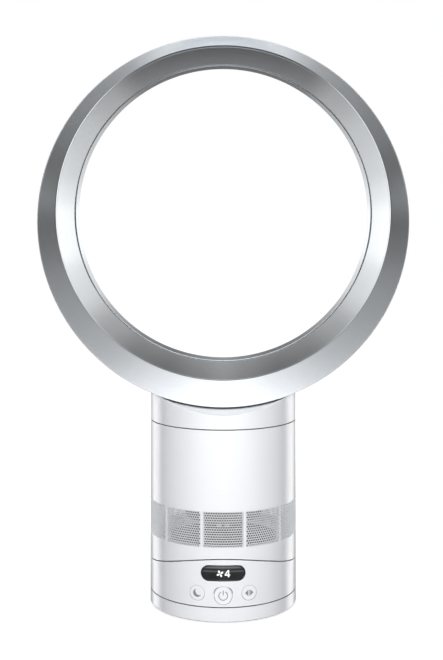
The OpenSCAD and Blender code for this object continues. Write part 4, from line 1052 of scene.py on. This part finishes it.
def lens():
    """The window: a pill flush in the casing that leans back towards its top, on a wider flange."""
    soup = Soup()
    soft, fall, bend = 1.6, 0.5, 15.5
    top, back = BODY_R - 0.02, INNER_R - 2

    def lean(z):
        return bend - math.sqrt(bend ** 2 - min(max(z - 0.8, 0.0), 6.4) ** 2)

    def lay(points, r):
        return [(x, face_y(x, r), WINDOW_Z + z) for x, z in points]

    rim = dense(pill(WINDOW_W - 0.4, WINDOW_H - 0.4, 20), 1.2)
    face = grow(rim, -soft)
    field = grow(face, -0.4)
    grid = [(float(x), float(z)) for x in np.arange(-20, 20.1, 1.25)
            for z in np.arange(-5.0, 6.0, 0.75) if inside((x, z), field)]
    v, f = triangles(face, [], grid)
    soup.add([(x, face_y(x, top) + lean(z), WINDOW_Z + z) for x, z in v], f)
    rows = []
    for t in np.radians(np.linspace(0, 90, 7)):
        rows.append([(x, face_y(x, top) + lean(z) + fall * (1 - math.cos(t)), WINDOW_Z + z)
                     for x, z in grow(rim, -soft * (1 - math.sin(t)))])
    flange = [(x, min(z, 7.9)) for x, z in grow(rim, 1.6)]
    soup.join(rows + [lay(rim, LINER_R), lay(flange, LINER_R), lay(flange, back)], "open")
    v, f = triangles(flange, [], [(float(x), 0.0) for x in np.arange(-20, 20.1, 2.0)])
    soup.add(lay(v, back), f)
    piece("window_lens", soup, "control_base", "smoked_window", ["display_lens"], merge=0.004)


lens()


def fan_blade(turn):
    """One rounded blade of the fan sign."""
    pts = [(0.35, 0.0), (0.9, 0.75), (2.0, 1.25), (3.1, 1.0), (3.35, 0.1), (2.7, -0.55),
           (1.6, -0.6), (0.9, -0.45)]
    c, s = math.cos(turn), math.sin(turn)
    return [(x * c - z * s, x * s + z * c) for x, z in pts]


FOUR = [(0.55, -3.3), (1.75, -3.3), (1.75, -1.75), (2.6, -1.75), (2.6, -0.65), (1.75, -0.65),
        (1.75, 3.3), (0.35, 3.3), (-2.4, -0.75), (-2.4, -1.75), (0.55, -1.75)]
FOUR_HOLE = [(0.6, -0.65), (-1.1, -0.65), (0.6, 1.95)]
# The display's signs: their shapes and how far they stand from its middle
FIGURES = {"fan_sign": ([[fan_blade(math.radians(20 + 90 * k))] for k in range(4)], -3.0),
           "four_sign": ([[FOUR, FOUR_HOLE]], 3.8)}
for name, (shapes, x0) in FIGURES.items():
    inlay(name, shapes, lambda x, z: face_y(x + x0, BODY_R - 0.02), "control_base", LIT, x0,
          WINDOW_Z - 0.2, proud=0.015)

# The dark crescents round the upper rim of the power key: painted shade at the rim, in the
# printing's grey
for side, (a0, a1) in {"left": (115, 172), "right": (8, 65)}.items():
    outer, inner = [], []
    for k in range(24):
        f = k / 23
        t = math.radians(a0 + (a1 - a0) * f)
        r = 9.0 + (0.85 * math.sin(math.pi * f) ** 0.8 + 0.02)
        outer.append((r * math.cos(t), r * math.sin(t)))
        inner.append((8.95 * math.cos(t), 8.95 * math.sin(t)))
    inlay("power_shade_arc_" + side, [[outer + inner[::-1]]], lambda x, z: face_y(x), "control_base", INK_AND_SHADE,
          *BUTTONS["power"][:2], proud=0.0, sunk=0.3)


# Everything kept from the frame gets its finish
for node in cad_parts.values():
    for slot in node.material_slots:
        slot.material = MATS[slot.material.name.split(".")[0]]


# Floor, light and camera

def floor_material():
    """A pale matt floor; for the camera it is lifted to white, and its shadows stay."""
    n = Nodes("floor")
    path = n.add("ShaderNodeLightPath")
    tint = n.mix(n.band(n.noise(3.0), 0.0, 1.0), grey(0.48), grey(0.5))
    matt = n.put(n.add("ShaderNodeBsdfDiffuse"), Color=tint).outputs[0]
    away = n.put(n.add("ShaderNodeVectorMath", operation="LENGTH"), Vector=n.coord).outputs["Value"]
    lift = n.band(away, 0.72, 1.0, 0.15, 0.9)
    glow = n.put(n.add("ShaderNodeEmission"), Strength=lift).outputs[0]
    both = n.add("ShaderNodeAddShader")
    n.tree.links.new(matt, both.inputs[0])
    n.tree.links.new(glow, both.inputs[1])
    n.tree.links.new(n.join(path.outputs["Is Camera Ray"], matt, both.outputs[0]), n.out.inputs[0])
    return n.owner


def make_floor():
    bm = bmesh.new()
    bmesh.ops.create_grid(bm, x_segments=12, y_segments=12, size=6.0)
    mesh = bpy.data.meshes.new("floor")
    bm.to_mesh(mesh)
    bm.free()
    mesh.materials.append(floor_material())
    obj = show("floor", mesh)
    obj.visible_glossy = False


def lamp(name, place, target, width, height, power):
    """A rectangular lamp in metres and watts, unseen by the camera and in reflections."""
    data = bpy.data.lights.new(name, "AREA")
    data.shape = "RECTANGLE"
    data.size, data.size_y = width, height
    data.energy = power
    obj = show(name, data)
    obj.location = place
    obj.rotation_euler = (Vector(target) - Vector(place)).to_track_quat("-Z", "Y").to_euler()
    obj.visible_camera = False
    obj.visible_glossy = False


def studio():
    """A white room for the camera and weak even light for matt surfaces. Gloss sees a studio by
    direction: bright overhead, underneath, in front and in a band behind, and dark at the sides."""
    world = bpy.data.worlds.new("studio")
    bpy.context.scene.world = world
    n = Nodes(world, "ShaderNodeOutputWorld", "Generated")
    split = n.put(n.add("ShaderNodeSeparateXYZ"), Vector=n.coord)
    x, y, z = split.outputs
    wide = n.math("ABSOLUTE", x)
    # From -1 straight below, over 0 at the side, to 1 overhead
    turn = n.math("ARCTAN2", wide, n.times(z, -1.0))
    turn = n.math("SUBTRACT", n.math("DIVIDE", turn, math.pi / 2), 1.0)
    front = n.ramp(turn, [(-1.0, 1.48), (-0.89, 1.42), (-0.78, 0.98), (-0.7, 0.65), (-0.64, 0.44),
                          (-0.5, 0.32), (-0.33, 0.215), (-0.2, 0.125), (0.0, 0.075), (0.11, 0.14),
                          (0.22, 0.265), (0.33, 0.335), (0.5, 0.41), (0.6, 0.45), (0.67, 0.58),
                          (0.78, 0.73), (0.89, 0.95), (1.0, 1.15)])
    back = n.ramp(turn, [(-1.0, 0.1), (-0.8, 0.12), (-0.66, 0.165), (-0.5, 0.49), (-0.33, 0.715),
                         (-0.17, 0.85), (-0.07, 1.12), (0.0, 1.42), (0.15, 1.42), (0.25, 1.02),
                         (0.33, 0.92), (0.5, 0.43), (0.66, 0.2), (0.78, 0.15), (0.9, 0.24),
                         (1.0, 0.35)])
    # Straight behind the object the turn says little: plain light there
    flat = n.put(n.add("ShaderNodeCombineXYZ"), X=x, Z=z).outputs[0]
    length = n.add("ShaderNodeVectorMath", operation="LENGTH")
    off_axis = n.put(length, Vector=flat).outputs["Value"]
    back = n.blend(n.band(off_axis, 0.3, 0.0, 0.33, 0.5), back, 0.5)
    back = n.blend(n.band(off_axis, 1.0, 0.0, 0.22, 0.3), back, 1.15)
    core = n.band(y, 0.0, 0.85, -0.85, -0.92)
    front = n.blend(core, front, 0.1)
    strips = n.ramp(wide, [(0.5, 1.3), (0.6, 1.8), (0.75, 2.0), (1.0, 2.0)])
    back = n.blend(n.band(wide, 0.0, 1.0, 0.5, 0.56), back, strips)
    gloss = n.blend(n.band(y, 0.0, 1.0, 0.34, 0.56), front, back)
    dark = n.times(n.band(y, 0.0, 1.0, 0.08, 0.2), n.band(y, 1.0, 0.0, 0.78, 0.86),
                   n.band(wide, 0.9, 0.0, 0.35, 0.5))
    low_box = n.times(n.band(z, 0.0, 1.0, -0.27, -0.21), n.band(z, 1.0, 0.0, -0.1, 0.0),
                      n.band(y, 1.0, 0.0, -0.92, -0.5))
    high_box = n.times(n.band(z, 0.0, 1.0, 0.08, 0.3), n.band(y, 1.0, 0.0, -0.86, -0.8))
    overhead = n.times(n.band(z, 0.0, 1.0, 0.78, 0.92), n.band(y, 1.0, 0.0, 0.1, 0.3))
    boxes = n.plus(n.times(low_box, 1.2), n.times(high_box, 2.2))
    gloss = n.plus(n.times(gloss, n.math("SUBTRACT", 1.0, dark)), boxes, overhead)
    matt_light, gloss_light, seen_light = [
        n.put(n.add("ShaderNodeBackground"), Color=(1, 1, 1, 1), Strength=strength).outputs[0]
        for strength in (0.03, gloss, 1.0)]
    path = n.add("ShaderNodeLightPath").outputs
    shiny = n.plus(path["Is Glossy Ray"], path["Is Transmission Ray"])
    lit_by = n.join(path["Is Camera Ray"], n.join(shiny, matt_light, gloss_light), seen_light)
    n.tree.links.new(lit_by, n.out.inputs[0])


make_floor()
lamp("front_soft", (0.0, -2.3, 0.8), (0, 0, 0.25), 0.5, 0.9, 53.0)
lamp("top_soft", (0.0, -0.2, 2.4), (0, 0, 0.3), 1.6, 1.6, 15.0)
for side, x in (("left", -0.75), ("right", 0.75)):
    lamp(side + "_strip", (x, 1.25, 0.5), (0, 0, 0.3), 0.3, 1.2, 11.0)
studio()

cam_data = bpy.data.cameras.new("camera")
cam = show("camera", cam_data)
# Level with the middle of the bore, and shifted down to take in the whole fan
cam.location = (0.0, -1.2, RING_Z * MM)
cam.rotation_euler = (math.radians(90), 0, 0)
cam_data.sensor_width = 36.0
cam_data.lens = 65.8
cam_data.shift_x = -0.0026
cam_data.shift_y = -0.177
cam_data.clip_start = 0.01
bpy.context.scene.camera = cam
bpy.context.scene.view_settings.view_transform = "Standard"
